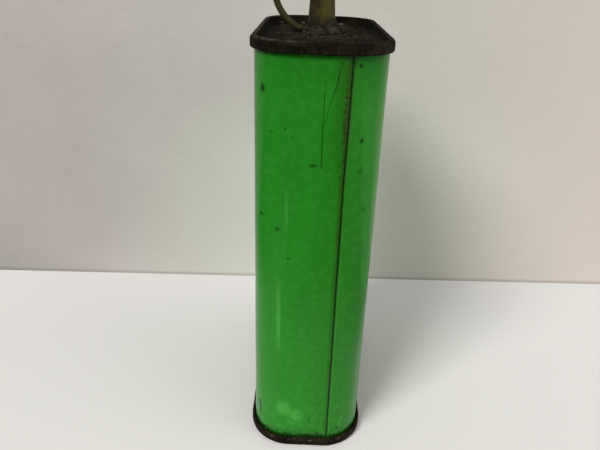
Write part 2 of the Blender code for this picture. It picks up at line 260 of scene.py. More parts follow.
def show(name, mesh, material, body, slot, *stands_for):
    """Put a finished mesh in the scene, on its body, in place of the frame's own solids."""
    obj = bpy.data.objects.new(name, mesh)
    bpy.context.scene.collection.objects.link(obj)
    mesh.materials.clear()
    mesh.materials.append(material)
    if stands_for:
        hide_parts(*stands_for)
    if body:
        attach(obj, body)
    print(name, len(mesh.polygons), "faces")
    return obj


print("edges over", SMOOTH_ANGLE, "degrees stay sharp")

# %% [markdown]
# ## Growing node trees
#
# Finishes and Geometry Nodes are both node trees, and a tree is easier to write as sums. Here every
# output of a node is a Value, and whatever is worked out from it, such as a product or a soft step,
# adds its nodes to the same tree.

# %% Values in a node tree
def fill(node, sockets):
    """Fill a node's sockets, named or numbered. A colour of three numbers gets its alpha here."""
    for key, value in sockets.items():
        socket = node.inputs[key]
        if isinstance(value, Value):
            node.id_data.links.new(value.socket, socket)
        else:
            socket.default_value = (*value, 1) if socket.type == "RGBA" else value


def grow(tree, kind, sockets=None, output=0, **settings):
    """Add a node to a tree, fill its sockets and give back one of its outputs."""
    node = tree.nodes.new(kind)
    for key, value in settings.items():
        setattr(node, key, value)
    fill(node, sockets or {})
    return Value(node.outputs[output])


class Value:
    """A node's output, from which more can be worked out in the same tree."""

    def __init__(self, socket):
        self.socket = socket
        self.tree = socket.id_data

    def math(self, operation, other=0.0, **settings):
        return grow(self.tree, "ShaderNodeMath", {0: self, 1: other}, operation=operation, **settings)

    def __add__(self, other):
        return self.math("ADD", other)

    def __sub__(self, other):
        return self.math("SUBTRACT", other)

    def __rsub__(self, other):
        return self * -1 + other

    def __mul__(self, other):
        return self.math("MULTIPLY", other)

    def vector(self, operation, other=(0, 0, 0)):
        output = "Value" if operation in ("LENGTH", "DOT_PRODUCT", "DISTANCE") else "Vector"
        return grow(self.tree, "ShaderNodeVectorMath", {0: self, 1: other}, output, operation=operation)

    def scaled(self, scale):
        return grow(self.tree, "ShaderNodeVectorMath", {0: self, "Scale": scale}, operation="SCALE")

    def parts(self):
        return [grow(self.tree, "ShaderNodeSeparateXYZ", {0: self}, k) for k in range(3)]

    def step(self, low, high, to_low=0, to_high=1, kind="SMOOTHSTEP"):
        """A soft step from to_low, where this is low, to to_high, where it is high."""
        sockets = {"Value": self, "From Min": low, "From Max": high, "To Min": to_low, "To Max": to_high}
        return grow(self.tree, "ShaderNodeMapRange", sockets, interpolation_type=kind)

    def band(self, low, high, soft):
        """1 between low and high, 0 outside, with soft edges."""
        return self.step(low - soft, low + soft) * self.step(high - soft, high + soft, 1, 0)


def most(*values):
    return reduce(lambda a, b: a.math("MAXIMUM", b), values)


print("values ready")

# %% [markdown]
# ## Writing a finish
#
# Every finish here is worked out from a point's place on the object, in millimetres. A recipe starts
# with one colour and lays coats over it. A coat's share, from 0 to 1, says how much it covers there.

# %% A recipe for a material
class Recipe:
    """A material, written as coats of colour and layers of relief. Places are in millimetres."""

    def __init__(self, name, base, specular=0.5, metallic=0.0):
        self.material = bpy.data.materials.new(name)
        self.material.use_nodes = True
        self.tree = self.material.node_tree
        self.shader = self.tree.nodes["Principled BSDF"]
        fill(self.shader, {"Specular IOR Level": specular, "Metallic": metallic})
        self.place = grow(self.tree, "ShaderNodeTexCoord", output="Object").scaled(1 / MM)
        self.x, self.y, self.z = self.place.parts()
        self.colour = base
        self.normal = None

    def cloud(self, size, detail=2, roughness=0.5, stretch=(1, 1, 1), offset=(0, 0, 0)):
        """Noise from 0 to 1 with patches about as wide as size."""
        place = self.place.vector("MULTIPLY", [1 / (size * s) for s in stretch]).vector("ADD", offset)
        sockets = {"Vector": place, "Scale": 1, "Detail": detail, "Roughness": roughness}
        return grow(self.tree, "ShaderNodeTexNoise", sockets)

    def stain(self, size, low, high, to_low=0, to_high=1, **cloud):
        """Patches with an edge: a soft step through a cloud."""
        return self.cloud(size, **cloud).step(low, high, to_low, to_high)

    def spot(self, wobble, centre, reach, uneven=1, full=0.65, none=1.05):
        """1 in a blot round a centre, 0 outside it. A cloud makes its edge wobble."""
        away = self.place.vector("SUBTRACT", centre).vector("DIVIDE", reach).vector("LENGTH")
        return (away + (wobble - 0.5) * uneven).step(full, none, 1, 0)

    def line(self, start, end, width, soft=1.6, taper=False):
        """1 along a straight scratch between two places, 0 away from it. It may fade towards its ends."""
        along = Vector(end) - Vector(start)
        away = self.place.vector("SUBTRACT", start)
        share = away.vector("DOT_PRODUCT", along / along.length_squared).math("ADD", use_clamp=True)
        near = grow(self.tree, "ShaderNodeVectorMath", {0: along, "Scale": share}, operation="SCALE")
        drawn = away.vector("DISTANCE", near).step(width / soft, width * soft, 1, 0)
        return drawn * share * (1 - share) * 4 if taper else drawn

    def past_outline(self):
        """How far a place lies outside the body's rounded oblong. Inside it is negative."""
        corner = ((HALF_WIDTH - CORNER_RADIUS) / MM, (HALF_DEPTH - CORNER_RADIUS) / MM, 0)
        past = self.place.vector("MULTIPLY", (1, 1, 0)).vector("ABSOLUTE").vector("SUBTRACT", corner)
        return past.vector("MAXIMUM").vector("LENGTH") - CORNER_RADIUS / MM

    def coat(self, colour, share):
        """Lay a colour over what is there, fully where the share is 1."""
        sockets = {0: share, 6: self.colour, 7: colour}
        self.colour = grow(self.tree, "ShaderNodeMix", sockets, 2, data_type="RGBA")

    def relief(self, height, depth):
        """Lean the surface by a height from 0 to 1 that stands for depth millimetres."""
        under = {"Normal": self.normal} if self.normal else {}
        self.normal = grow(self.tree, "ShaderNodeBump", {"Height": height, "Distance": depth * MM, **under})

    def finish(self, roughness):
        fill(self.shader, {"Base Color": self.colour, "Roughness": roughness})
        if self.normal:
            fill(self.shader, {"Normal": self.normal})
        return self.material


print("recipe ready")

# %% [markdown]
# ## Green print
#
# The body carries a glossy green lithographed coat. It isn't flat: the varnish has a faint
# orange-peel, the sheet is painted darker under the top seam, as shade with some dirt, and specks of
# rust creep up from the bottom one. Painted shade also darkens the right of the front, and painted
# highlights and a painted reflection lighten both bends. The chips and scratches are placed one by
# one, as blots and lines that the recipe measures from the point's place, because noise alone never
# puts them where a hand wore the tin.

# %% Marks on the print
CHIPS = [
    # centre on the surface, half sizes, strength
    ((-14.31, -29.80, 113.7), (0.85, 1.0, 1.00), 1.0),
    ((4.62, -34.0, 120.8), (0.46, 0.6, 0.46), 0.85),
    ((9.10, -33.4, 120.2), (0.55, 0.6, 0.55), 0.95),
    ((10.73, -32.7, 102.0), (0.55, 0.6, 0.60), 0.9),
    ((-1.19, -34.0, 95.4), (0.95, 0.6, 0.5), 0.7),
    ((-10.1, -33.0, 76.9), (0.75, 0.7, 0.6), 0.7),
    ((11.14, -32.5, 93.7), (0.8, 0.8, 1.0), 0.35),
    ((12.88, -31.2, 82.9), (0.6, 0.8, 0.7), 0.45),
    ((-14.58, -29.5, 79.9), (0.55, 0.8, 0.5), 0.75),
    ((-6.93, -33.9, 68.4), (0.42, 0.6, 0.4), 0.6),
    ((10.02, -33.0, 6.5), (0.42, 0.6, 0.45), 0.85),
    ((-8.4, -33.6, 104.6), (0.4, 0.6, 0.3), 0.5),
    ((-12.0, -32.0, 103.4), (0.5, 0.7, 0.28), 0.45),
    ((5.4, -34.0, 119.9), (1.4, 1.2, 2.0), 0.22),
    ((12.6, -31.5, 91.3), (1.0, 1.2, 1.4), 0.18),
]
SCRATCHES = [
    # places along the scratch, width and strength of each leg between them
    ([(4.70, -34.0, 120.8), (4.15, -34.0, 118.9), (3.92, -34.0, 116.5), (3.12, -34.0, 113.6),
      (2.30, -34.0, 111.0), (1.30, -34.0, 106.2)],
     [(0.12, 0.55), (0.18, 0.85), (0.15, 0.70), (0.14, 0.48), (0.13, 0.38)]),
    ([(1.10, -34.0, 120.2), (0.94, -34.0, 114.0), (0.81, -34.0, 106.0), (0.85, -34.0, 94.7)],
     [(0.12, 0.30), (0.13, 0.58), (0.14, 0.70)]),
    ([(-15.25, -28.6, 13.0), (-14.98, -28.9, 11.2), (-14.78, -29.1, 9.7), (-14.80, -29.1, 8.3)],
     [(0.50, 1.0), (0.42, 1.0), (0.32, 1.0)]),
    ([(0.74, -34.0, 11.6), (0.83, -34.0, 9.0)], [(0.10, 0.7)]),
]
# Painted highlights: pale streaks down the left bend, where the gloss of the print catches light.
PAINTED_HIGHLIGHTS = [
    # start, end, width, strength
    ((-7.80, -33.7, 90.0), (-7.62, -33.8, 74.5), 0.34, 0.30),
    ((-7.60, -33.7, 87.0), (-7.50, -33.8, 77.0), 0.14, 0.60),
    ((-9.55, -33.3, 62.0), (-9.40, -33.4, 34.5), 0.55, 0.62),
    ((-9.10, -33.3, 58.0), (-8.95, -33.4, 36.0), 0.18, 0.90),
]
PALE_PATCHES = [
    # centre, half sizes, strength
    ((-8.2, -33.7, 14.5), (2.0, 1.4, 3.8), 0.95),
    ((-6.2, -34.0, 14.2), (2.2, 1.4, 3.6), 0.70),
    ((-3.2, -34.0, 12.0), (2.8, 1.4, 3.2), 0.80),
]
print(len(CHIPS), "chips,", len(SCRATCHES), "scratches,", len(PAINTED_HIGHLIGHTS), "painted_streaks")

# %% Coats of the print
GREEN = (0.0152, 0.176, 0.0120)
GREEN_DEEP = (0.0128, 0.153, 0.0102)
GREEN_PALE = (0.050, 0.285, 0.040)
GREEN_PAINTED_SHADE = (0.0140, 0.143, 0.0085)
CHIP_DIRT_AND_SHADE = (0.0020, 0.0270, 0.0004)
SEAM_BROWN = (0.0300, 0.0480, 0.0095)
SEAM_OLIVE = (0.0150, 0.0850, 0.0065)
SLIT_SHADOW_AND_DIRT = (0.0010, 0.0380, 0.0005)
SEAM_DARK = (0.0080, 0.0600, 0.0060)
RUST_BROWN = (0.0170, 0.0120, 0.0040)


def green_tones(made, front):
    """Two greens in patches, painted shade on the front's right, a painted reflection on the right bend."""
    x, y, z = made.x, made.y, made.z
    # Painted shade: the tone leans to the lighter green on the left of the front, the deeper on the right.
    tone = made.cloud(11, detail=3, stretch=(1, 1, 4)) + x.step(-12, 8, 0.12, -0.08) * front
    made.coat(GREEN, tone.step(0.35, 0.65))
    # Painted shade: the right half of the front turns a darker green, more so low down.
    made.coat(GREEN_PAINTED_SHADE, x.step(-3, 4.5) * y.step(-20, -26) * z.step(112, 60, 0.55, 0.95))
    # Painted reflection: a pale strip down the right bend, where the gloss mirrors the bright room.
    bend = (x + z * 0.08).step(18.2, 19.8) * y.step(-16, -24)
    made.coat(GREEN_PALE, bend * z.band(56, 114, 7) * 0.27)
    made.coat(GREEN_PALE, made.stain(1.8, 0.40, 0.72, detail=3, offset=(7, 3, 1)) * 0.14)


def pale_wear(made, wobble):
    """Scuffs near the foot, painted highlight streaks on the left bend and the faded patch. It gives back the
    scuffs, which are matt as well.
    """
    scuffs = made.stain(3.4, 0.50, 0.66, detail=4, roughness=0.65, offset=(2, 8, 4))
    scuffs = scuffs * made.z.step(4, 24, 1, 0) * 0.42
    painted_streaks = [made.line(a, b, width, 2, taper=True) * s for a, b, width, s in PAINTED_HIGHLIGHTS]
    patches = most(*[made.spot(wobble, c, r, 1.2, 0.30, 1.15) * s for c, r, s in PALE_PATCHES])
    strokes = made.stain(2.2, 0.36, 0.60, 0.35, 1, detail=3, stretch=(1, 1, 2), offset=(3, 2, 6))
    made.coat(GREEN_PALE, most(scuffs, patches * strokes, *painted_streaks))
    return scuffs


def dark_marks(made, wobble):
    """Chips, scratches, grit, dirt and painted shade under the top seam. It gives back what is worn bare, and
    the specks at the foot.
    """
    z = made.z
    bare = [made.spot(wobble, c, r) * s for c, r, s in CHIPS]
    for places, legs in SCRATCHES:
        bare += [made.line(a, b, width) * s for a, b, (width, s) in zip(places, places[1:], legs)]
    bare = most(*bare)
    halos = [made.spot(wobble, c, r, 1, 0.7, 2.1) * (0.45 * s) for c, r, s in CHIPS]
    grit = made.stain(0.9, 0.735, 0.775, detail=2, offset=(4, 1, 9)) * 0.6
    specks = (z + made.cloud(0.9, detail=4, offset=(1, 5, 2)) * -8.5).step(-0.25, 0.35, 1, 0)
    foot = z.step(7.5, 3.6) * made.stain(2.4, 0.30, 0.62, 0.15, 0.5, detail=4)
    # Painted shade under the top seam, partly dirt: the print darkens in patches towards the seam.
    rim = z.step(112, 121.5, 0, 0.16) + z.step(120.6, 122.4, 0, 0.42)
    rim = rim * made.stain(1.6, 0.25, 0.6, 0.5, 1, detail=3)
    made.coat(CHIP_DIRT_AND_SHADE, most(bare, *halos, grit, specks, foot, rim))
    return bare, specks


def seam_stains(made, front):
    """Seam dirt, a darker olive band, the slit in painted shadow and dirt, a painted highlight right of it.
    """
    z = made.z
    across = made.x - z.step(LEAN_FROM / MM, TIN_HEIGHT / MM, 0, SEAM_LEAN / MM)
    worn = made.stain(1.3, 0.30, 0.60, 0.55, 1, detail=3, stretch=(1, 1, 3))
    rust = made.stain(0.9, 0.47, 0.64, detail=4, roughness=0.6, offset=(3, 3, 3))
    broken = made.stain(0.9, 0.30, 0.50, 0.70, 1, detail=3, offset=(6, 6, 1))
    blob = across.band(5.9, 7.6, 0.7) * z.step(119.2, 120.6) * 0.75
    edge = across.band(5.8, 7, 0.8) * front * worn
    # A darker olive band left of the slit, strongest near the top.
    made.coat(SEAM_OLIVE, across.band(3.2, 6.9, 1.9) * front * z.step(84, 112, 0.04, 0.60))
    made.coat(SEAM_DARK, edge * 0.62)
    made.coat(SEAM_BROWN, edge * z.step(25, 104, 0.22, 0.80))
    made.coat(RUST_BROWN, across.band(5.2, 6.8, 0.6) * front * z.band(90, 117, 5) * rust * 0.75)
    # Painted shadow in the slit's gap, with dirt in it, and a dirt blot near the top of the seam.
    made.coat(SLIT_SHADOW_AND_DIRT, most(blob, across.band(6.42, 6.98, 0.13) * broken) * front)
    # Painted highlight: a pale line on the edge right of the slit, stronger low down.
    made.coat(GREEN_PALE, across.band(7.25, 7.6, 0.16) * front * z.step(84, 60, 0.08, 0.26))


print("deepest green", GREEN_DEEP, "palest", GREEN_PALE)

# %% Green print
def green_print():
    made = Recipe("green_print", GREEN_DEEP, specular=0.17)
    wobble = made.cloud(0.55, detail=3)
    front = made.y.step(-26, -28)
    green_tones(made, front)
    scuffs = pale_wear(made, wobble)
    bare, specks = dark_marks(made, wobble)
    seam_stains(made, front)
    made.relief(made.cloud(0.9, detail=2, offset=(5, 5, 5)), 0.004)
    made.relief(made.cloud(9, detail=1, offset=(6, 2, 7)), 0.08)
    made.relief(1 - bare, 0.003)
    gloss = made.stain(5, 0.3, 0.7, 0.16, 0.24, detail=4, roughness=0.6, offset=(9, 9, 9))
    return made.finish(gloss + most(specks * 0.5, scuffs * 0.8) * 0.3)


GREEN_PRINT = green_print()
print(GREEN_PRINT.name, "in", len(GREEN_PRINT.node_tree.nodes), "nodes")

# %% [markdown]
# ## Dark tinplate
#
# The two ends were never printed. Oil, dirt and rust have turned their tinplate almost black, with
# brown patches, and a dull grey painted highlight lies along the crown of the seam over worn patches.
# Three sizes of noise do that: broad stains, rust blooms and fine grain. Painted shade blackens the
# inside of the seam wall, most in the lid's left corner. The lid has more to it than the base: dirt
# round the spout, rust and flakes in known places, three painted glints at the foot of the far wall,
# a painted highlight on the crown that is brightest on the left, and soot on the crown's right.

# %% Dark tinplate
PLATE_BLACK = (0.0042, 0.0036, 0.0018)
PLATE_BROWN = (0.0120, 0.0090, 0.0048)
PLATE_RUST = (0.0180, 0.0105, 0.0058)
PLATE_GREY = (0.0390, 0.0350, 0.0250)
PLATE_OIL = (0.0280, 0.0240, 0.0105)
PLATE_FLAKE_AND_GLINT = (0.1500, 0.1400, 0.1050)
PLATE_ORANGE = (0.0270, 0.0165, 0.0080)
CAKE_DARK = (0.0062, 0.0053, 0.0028)
CAKE_LIGHT = (0.0380, 0.0345, 0.0215)
LID_PATCHES = [
    # centre on the lid, half sizes, strength, colour
    ((2.6, -7.4, 123.2), (3.2, 1.3, 1.0), 0.8, PLATE_ORANGE),
    ((7.6, 22.0, 122.8), (2.8, 9.0, 1.0), 0.6, PLATE_ORANGE),
    ((-9.0, 4.0, 122.8), (2.6, 4.0, 1.0), 0.4, PLATE_ORANGE),
    # Painted glints: the last three patches are pale spots at the foot of the far wall, where light catches
    # the bend.
    ((7.2, 33.3, 123.05), (2.1, 1.0, 0.24), 1.0, PLATE_FLAKE_AND_GLINT),
    ((-5.5, 33.3, 123.15), (0.8, 1.0, 0.24), 0.5, PLATE_FLAKE_AND_GLINT),
    ((-12.8, 30.7, 123.4), (0.7, 1.0, 0.24), 0.5, PLATE_FLAKE_AND_GLINT),
]


def dark_tinplate(name, crown, offset, patches=()):
    """The finish of an end whose seam has its crown at a height in millimetres. The lid has patches."""
    made = Recipe(name, PLATE_BLACK, specular=0.04)
    x, past = made.x, made.past_outline()
    below = (made.z - crown).math("ABSOLUTE")
    wobble = made.cloud(0.8, detail=4, offset=offset)
    made.coat(PLATE_BROWN, made.stain(4.5, 0.40, 0.66, detail=4, roughness=0.6, offset=offset))
    bloom = made.stain(2.6, 0.54, 0.66, detail=5, roughness=0.65, offset=(offset[1], 3, 8))
    made.coat(PLATE_RUST, bloom * 0.5)

    panel = below.step(2, 2.6)
    oil = made.stain(1.1, 0.50, 0.64, detail=5, roughness=0.7, offset=(2, offset[0], 5))
    flake = made.stain(1.5, 0.68, 0.72, detail=3, offset=(offset[2], 7, 1))
    made.coat(PLATE_OIL, oil * panel * 0.9)
    made.coat(PLATE_FLAKE_AND_GLINT, flake * panel * 0.5)
    if patches:
        radius = made.place.vector("MULTIPLY", (1, 1, 0)).vector("LENGTH")
        made.coat(CAKE_LIGHT, radius.step(12, 7) * wobble.step(0.44, 0.60) * 0.8)

    # Painted shade: the inside of the seam wall goes black, reaching further on the left, where the lid's
    # corner lies in shade.
    corner = (past + x.step(-7, -13, 0, 1.4) + wobble * 3).step(-2.2, 0.2)
    made.coat(PLATE_BLACK, past.step(-0.62, -0.68) * below.step(0.3, 0.7) * corner * 0.85)
    for centre, size, strength, colour in patches:
        made.coat(colour, made.spot(wobble, centre, size) * strength)

    # Painted highlight along the crown of the seam, brightest on the left, broken into worn patches.
    crest = below.band(-1, 0.5, 0.22) * past.band(-0.55, 1.05, 0.15)
    rub_and_sheen = made.stain(2.2, 0.34, 0.58, detail=4, offset=(8, 1, offset[2]))
    made.coat(PLATE_GREY, crest * rub_and_sheen * x.step(0, -12, 0.15, 1) * (0.9 if patches else 0.5))
    if patches:
        soot = made.stain(1.6, 0.34, 0.52, detail=4, offset=(3, 9, 5))
        dust = made.stain(1.9, 0.35, 0.65, detail=4)
        made.coat(PLATE_BLACK, below.band(-1, 0.9, 0.3) * x.step(-8, 1) * soot * 0.75)
        made.coat(PLATE_GREY, x.step(9, 17) * dust * past.step(0.4, 0.9) * 0.5)

    made.colour = made.colour.scaled(made.stain(0.28, 0.35, 0.65, 0.75, 1.25, detail=3))
    made.relief(made.cloud(0.35, detail=3, roughness=0.6), 0.04)
    made.relief(made.cloud(1.1, detail=3, offset=(1, 2, 3)), 0.16)
    return made.finish(made.stain(1.7, 0.3, 0.7, 0.60, 0.92, detail=4, offset=offset))


LID_PLATE = dark_tinplate("lid_tinplate", TIN_HEIGHT / MM, (1, 4, 2), LID_PATCHES)
BASE_PLATE = dark_tinplate("base_tinplate", 0.0, (6, 2, 9))
print(LID_PLATE.name, "and", BASE_PLATE.name, "written")

# %% [markdown]
# Dirt that has caked round the spout is paler and lumpier than the plate, and quite matt. One black
# spot on it, in front of the spout's foot, is a painted shadow under the ring.

# %% Caked dirt
PAINTED_SHADOW_SPOT = (1.2, -6.9, 124.5)
PAINTED_SHADOW_SIZE = (2.2, 1.4, 1.4)


def caked_finish():
    made = Recipe("caked_dirt", CAKE_DARK, specular=0.08)
    made.coat(CAKE_LIGHT, made.stain(1.9, 0.40, 0.66, detail=5, roughness=0.6, offset=(4, 4, 2)))
    brown = made.stain(2, 0.5, 0.65, detail=2, offset=(1, 7, 5)) * 0.5
    made.coat(PLATE_BROWN, most(brown, made.z.step(125, 126.6, 0, 0.8)))
    # Painted shadow: a black spot in front of the spout, under the ring.
    made.coat(PLATE_BLACK, made.spot(made.cloud(0.8, detail=3), PAINTED_SHADOW_SPOT, PAINTED_SHADOW_SIZE) * 0.9)
    made.relief(made.cloud(0.35, detail=4, roughness=0.7), 0.12)
    return made.finish(made.stain(0.7, 0.3, 0.7, 0.7, 0.95, detail=3))


CAKED_DIRT = caked_finish()
print(CAKED_DIRT.name, "with a painted_shadow at", PAINTED_SHADOW_SPOT)

# %% [markdown]
# ## The body sheet
#
# One sheet is bent round until its two edges meet at the side seam. Its section runs up the wall and
# hooks over at both ends, where the seams will grip it. Sweeping that section round the stations
# gives a sheet with real thickness. The wall is then pressed in and out by a few hundredths of a
# millimetre, as thin tinplate always is, and the left edge of the seam stands a hair proud.

# %% Sections through the sheet
BEND_STEPS = 6
HOOK_STEPS = 7
LEVEL_STEP = 3.0 * MM
COMPOUND_SPACE = 0.50 * MM
HOOK_GAP = 0.2 * MM
CHUCK_WALL = -LAYER_GAP - SHEET - HALF_SHEET
COVER_HOOK = LAYER_GAP + HALF_SHEET
BODY_HOOK = 2 * LAYER_GAP + SHEET + HALF_SHEET
OUTER_WALL = 3 * LAYER_GAP + 2 * SHEET + HALF_SHEET
ARCH_RADIUS = (BODY_HOOK + HALF_SHEET) / 2
ARCH_CENTRE = SHEET + COMPOUND_SPACE + HALF_SHEET + ARCH_RADIUS


def arc(centre, radius, start, stop, steps=BEND_STEPS):
    """Points along a bend, in degrees."""
    turns = [math.radians(start + (stop - start) * k / steps) for k in range(steps + 1)]
    return [(centre[0] + radius * math.cos(t), centre[1] + radius * math.sin(t)) for t in turns]


def thicken(path, thickness):
    """The two sides of a sheet whose middle follows the path."""
    sides = ([], [])
    for k, point in enumerate(path):
        here = Vector(point)
        before = (here - Vector(path[k - 1])).normalized() if k else None
        after = (Vector(path[k + 1]) - here).normalized() if k + 1 < len(path) else None
        before, after = before or after, after or before
        middle = (before + after).normalized()
        normal = Vector((-middle.y, middle.x))
        reach = thickness / 2 / normal.dot(Vector((-after.y, after.x)))
        sides[0].append(tuple(here + normal * reach))
        sides[1].append(tuple(here - normal * reach))
    return sides


def hook_path():
    """The body's sheet in a seam, from the hook's end over to the wall. The second value goes down."""
    arch = arc((COVER_HOOK, ARCH_CENTRE), ARCH_RADIUS, 360, 180, HOOK_STEPS)
    return [(BODY_HOOK, SEAM_HEIGHT - SHEET - HOOK_GAP)] + arch


def body_section():
    """The whole sheet in section, from the top hook down the wall to the bottom hook."""
    hook = hook_path()
    top = [(out, TIN_HEIGHT - down) for out, down in hook]
    bottom = hook[::-1]
    high, low = top[-1][1], bottom[0][1]
    levels = round((high - low) / LEVEL_STEP)
    wall = [(-HALF_SHEET, high + (low - high) * k / levels) for k in range(1, levels)]
    first, second = thicken(top + wall + bottom, SHEET)
    return first + second[::-1]


print(len(body_section()), "points in the body's section")

# %% The wall's unevenness
WALL_PRESS = 0.07 * MM
PRESS_SIZE = 17 * MM
PRESS_TALLER = 1.6
PRESS_INWARD = 0.3
PRESS_FADE = 9 * MM
EDGE_LIFT = 0.11 * MM
EDGE_RUN = 1.5 * MM
EDGE_FADE = 2 * MM
EDGE_ROUND = 0.16 * MM
EDGE_DROP = 0.6
SEAM_GIVE = 8 * MM
SEAM_AT = SEAM_X - (HALF_WIDTH - CORNER_RADIUS)
SEAM_AT = HALF_WIDTH - CORNER_RADIUS + CORNER_RADIUS * math.asin(SEAM_AT / CORNER_RADIUS)
RIGHT_EDGE = SEAM_AT + SLIT / 2
LEFT_EDGE = OUTLINE + SEAM_AT - SLIT / 2


def clamp(value, low, high):
    return min(high, max(low, value))


def smooth(value):
    """A soft step from 0 to 1."""
    value = clamp(value, 0.0, 1.0)
    return value * value * (3 - 2 * value)


def between_seams(height, run):
    """1 on the wall, falling to 0 over a run at each of the two double seams."""
    return smooth((height - SEAM_HEIGHT) / run) * smooth((TIN_HEIGHT - SEAM_HEIGHT - height) / run)


def wall_press(distance, height):
    """How far the wall is pressed outwards at a place: mostly inwards, so that it keeps in the frame."""
    turn = 2 * math.pi * distance / OUTLINE
    reach = OUTLINE / (2 * math.pi) / PRESS_SIZE
    spot = Vector((reach * math.cos(turn), reach * math.sin(turn), height / PRESS_SIZE / PRESS_TALLER))
    return WALL_PRESS * between_seams(height, PRESS_FADE) * (noise.noise(spot) - PRESS_INWARD)


def edge_lift(distance, height):
    """The left edge of the side seam stands proud, and its arris is rounded off."""
    inside = LEFT_EDGE - distance
    lift = EDGE_LIFT * math.exp(-((inside / EDGE_RUN) ** 2)) * between_seams(height, EDGE_FADE)
    return lift - EDGE_ROUND * EDGE_DROP * max(0.0, 1 - inside / EDGE_ROUND) ** 2


def seam_place(distance, out, height):
    """A place on the sheet. Near its top the side seam leans a little to the right."""
    away = min(abs(distance - RIGHT_EDGE), abs(LEFT_EDGE - distance))
    lean = SEAM_LEAN * smooth((height - LEAN_FROM) / (TIN_HEIGHT - LEAN_FROM)) * smooth(1 - away / SEAM_GIVE)
    (x, y), (out_x, out_y) = station(distance + lean)
    return (x + out_x * out, y + out_y * out, height)


print("side seam", in_mm(SEAM_AT), "mm along the outline")

# %% The body sheet
SEAM_SPREAD = (0.05, 0.12, 0.22, 0.36, 0.6, 0.95, 1.4, 2.0)


def body_distances():
    """Stations from the seam's right edge round to its left edge, close together beside the seam."""
    near = [RIGHT_EDGE] + [RIGHT_EDGE + s * MM for s in SEAM_SPREAD]
    near += [LEFT_EDGE - s * MM for s in SEAM_SPREAD] + [LEFT_EDGE]
    clear = max(SEAM_SPREAD) * MM + FLAT_STEP / 2
    even = [d if d > RIGHT_EDGE else d + OUTLINE for d in ROUND.distances]
    return sorted(near + [d for d in even if RIGHT_EDGE + clear < d < LEFT_EDGE - clear])


def make_body_sheet():
    rows = []
    for distance in body_distances():
        row = []
        for out, height in body_section():
            lift = edge_lift(distance, height) if out > -HALF_SHEET else 0
            row.append(seam_place(distance, out + wall_press(distance, height) + lift, height))
        rows.append(row)
    return show("body_sheet", skin("body_sheet", rows), GREEN_PRINT, TIN, "green_print", "body_shell")


make_body_sheet()

# %% [markdown]
# Behind the slit lies the lap: the right side of the sheet steps in by its own thickness and runs on
# under the left edge. It is a small piece of its own here, sunk into the sheet where they are one.

# %% The lap behind the side seam
LAP = 4.0 * MM
LAP_ROOT = 2.0 * MM
LAP_STEP = 0.12 * MM
LAP_STEPS = 6
LAP_LEVELS = 12
LAP_GAP = 0.2 * MM
LAP_TO_PANEL = 0.66 * MM


def make_body_lap():
    top = TIN_HEIGHT - COUNTERSINK - LAP_TO_PANEL
    bottom = COUNTERSINK + LAP_TO_PANEL
    under = -SHEET - LAP_GAP
    plan = [
        # distance along the outline, how far out the strip's two faces lie
        (RIGHT_EDGE + LAP_ROOT, -HALF_SHEET, -SHEET * 0.9),
        (RIGHT_EDGE + LAP_ROOT * 0.6, -HALF_SHEET, -SHEET * 1.3),
        (RIGHT_EDGE + LAP_STEP, -HALF_SHEET, under - SHEET),
        (RIGHT_EDGE - LAP_STEP, under * 0.8, under - SHEET),
    ]
    plan += [(RIGHT_EDGE - SLIT - LAP * k / LAP_STEPS, under, under - SHEET) for k in range(LAP_STEPS + 1)]
    levels = [bottom + (top - bottom) * k / LAP_LEVELS for k in range(LAP_LEVELS + 1)]
    rows = []
    for distance, outer, inner in plan:
        row = [seam_place(distance, outer, height) for height in levels]
        rows.append(row + [seam_place(distance, inner, height) for height in levels[::-1]])
    return show("body_lap", skin("body_lap", rows), GREEN_PRINT, TIN, "green_print")


make_body_lap()

# %% [markdown]
# ## The two ends
#
# An end is a pressed dish whose edge is rolled with the body's hook into a double seam. The section
# is drawn once, as a path through the middle of the sheet, and swept round the stations. The lid's
# panel continues in rows from the seam to the round boss under the spout, which leaves enough points
# to press dirt, dimples and old oil into real relief.

# %% The path of an end's sheet
CHUCK_BEND = 0.22 * MM
CROWN_BEND = 0.85 * MM
FOLD_BEND = 0.24 * MM
FOOT_BEND = 0.55 * MM
PANEL_EDGE = 1.9 * MM
PANEL_OUT = CHUCK_WALL - FOOT_BEND - HALF_SHEET - PANEL_EDGE
CROWN_STEPS = 8
FOLD_STEPS = 4


def end_path():
    """The middle of an end's sheet, from its panel over the crown and in to the cover hook."""
    panel = COUNTERSINK + HALF_SHEET
    foot, chuck = FOOT_BEND + HALF_SHEET, CHUCK_BEND + HALF_SHEET
    crown, fold = CROWN_BEND + HALF_SHEET, FOLD_BEND + HALF_SHEET
    bottom = SEAM_HEIGHT - HALF_SHEET
    path = [(CHUCK_WALL - foot - PANEL_EDGE, panel)]
    path += arc((CHUCK_WALL - foot, panel - foot), foot, 90, 0)
    path += arc((CHUCK_WALL + chuck, HALF_SHEET + chuck), chuck, 180, 270)
    path += arc((OUTER_WALL - crown, HALF_SHEET + crown), crown, 270, 360, CROWN_STEPS)
    wall = bottom - fold - HALF_SHEET - crown
    path += [(OUTER_WALL, HALF_SHEET + crown + wall * k / 4) for k in (1, 2, 3)]
    path += arc((OUTER_WALL - fold, bottom - fold), fold, 0, 90, FOLD_STEPS)
    path += arc((COVER_HOOK + fold, bottom - fold), fold, 90, 180, FOLD_STEPS)
    return path + [(COVER_HOOK, ARCH_CENTRE)]


def end_faces():
    """The outside of an end in section, and its inside back again."""
    first, second = thicken(end_path(), SHEET)
    if first[0][1] > second[0][1]:
        first, second = second, first
    return first + second[::-1]


print(len(end_path()), "points in an end's path")

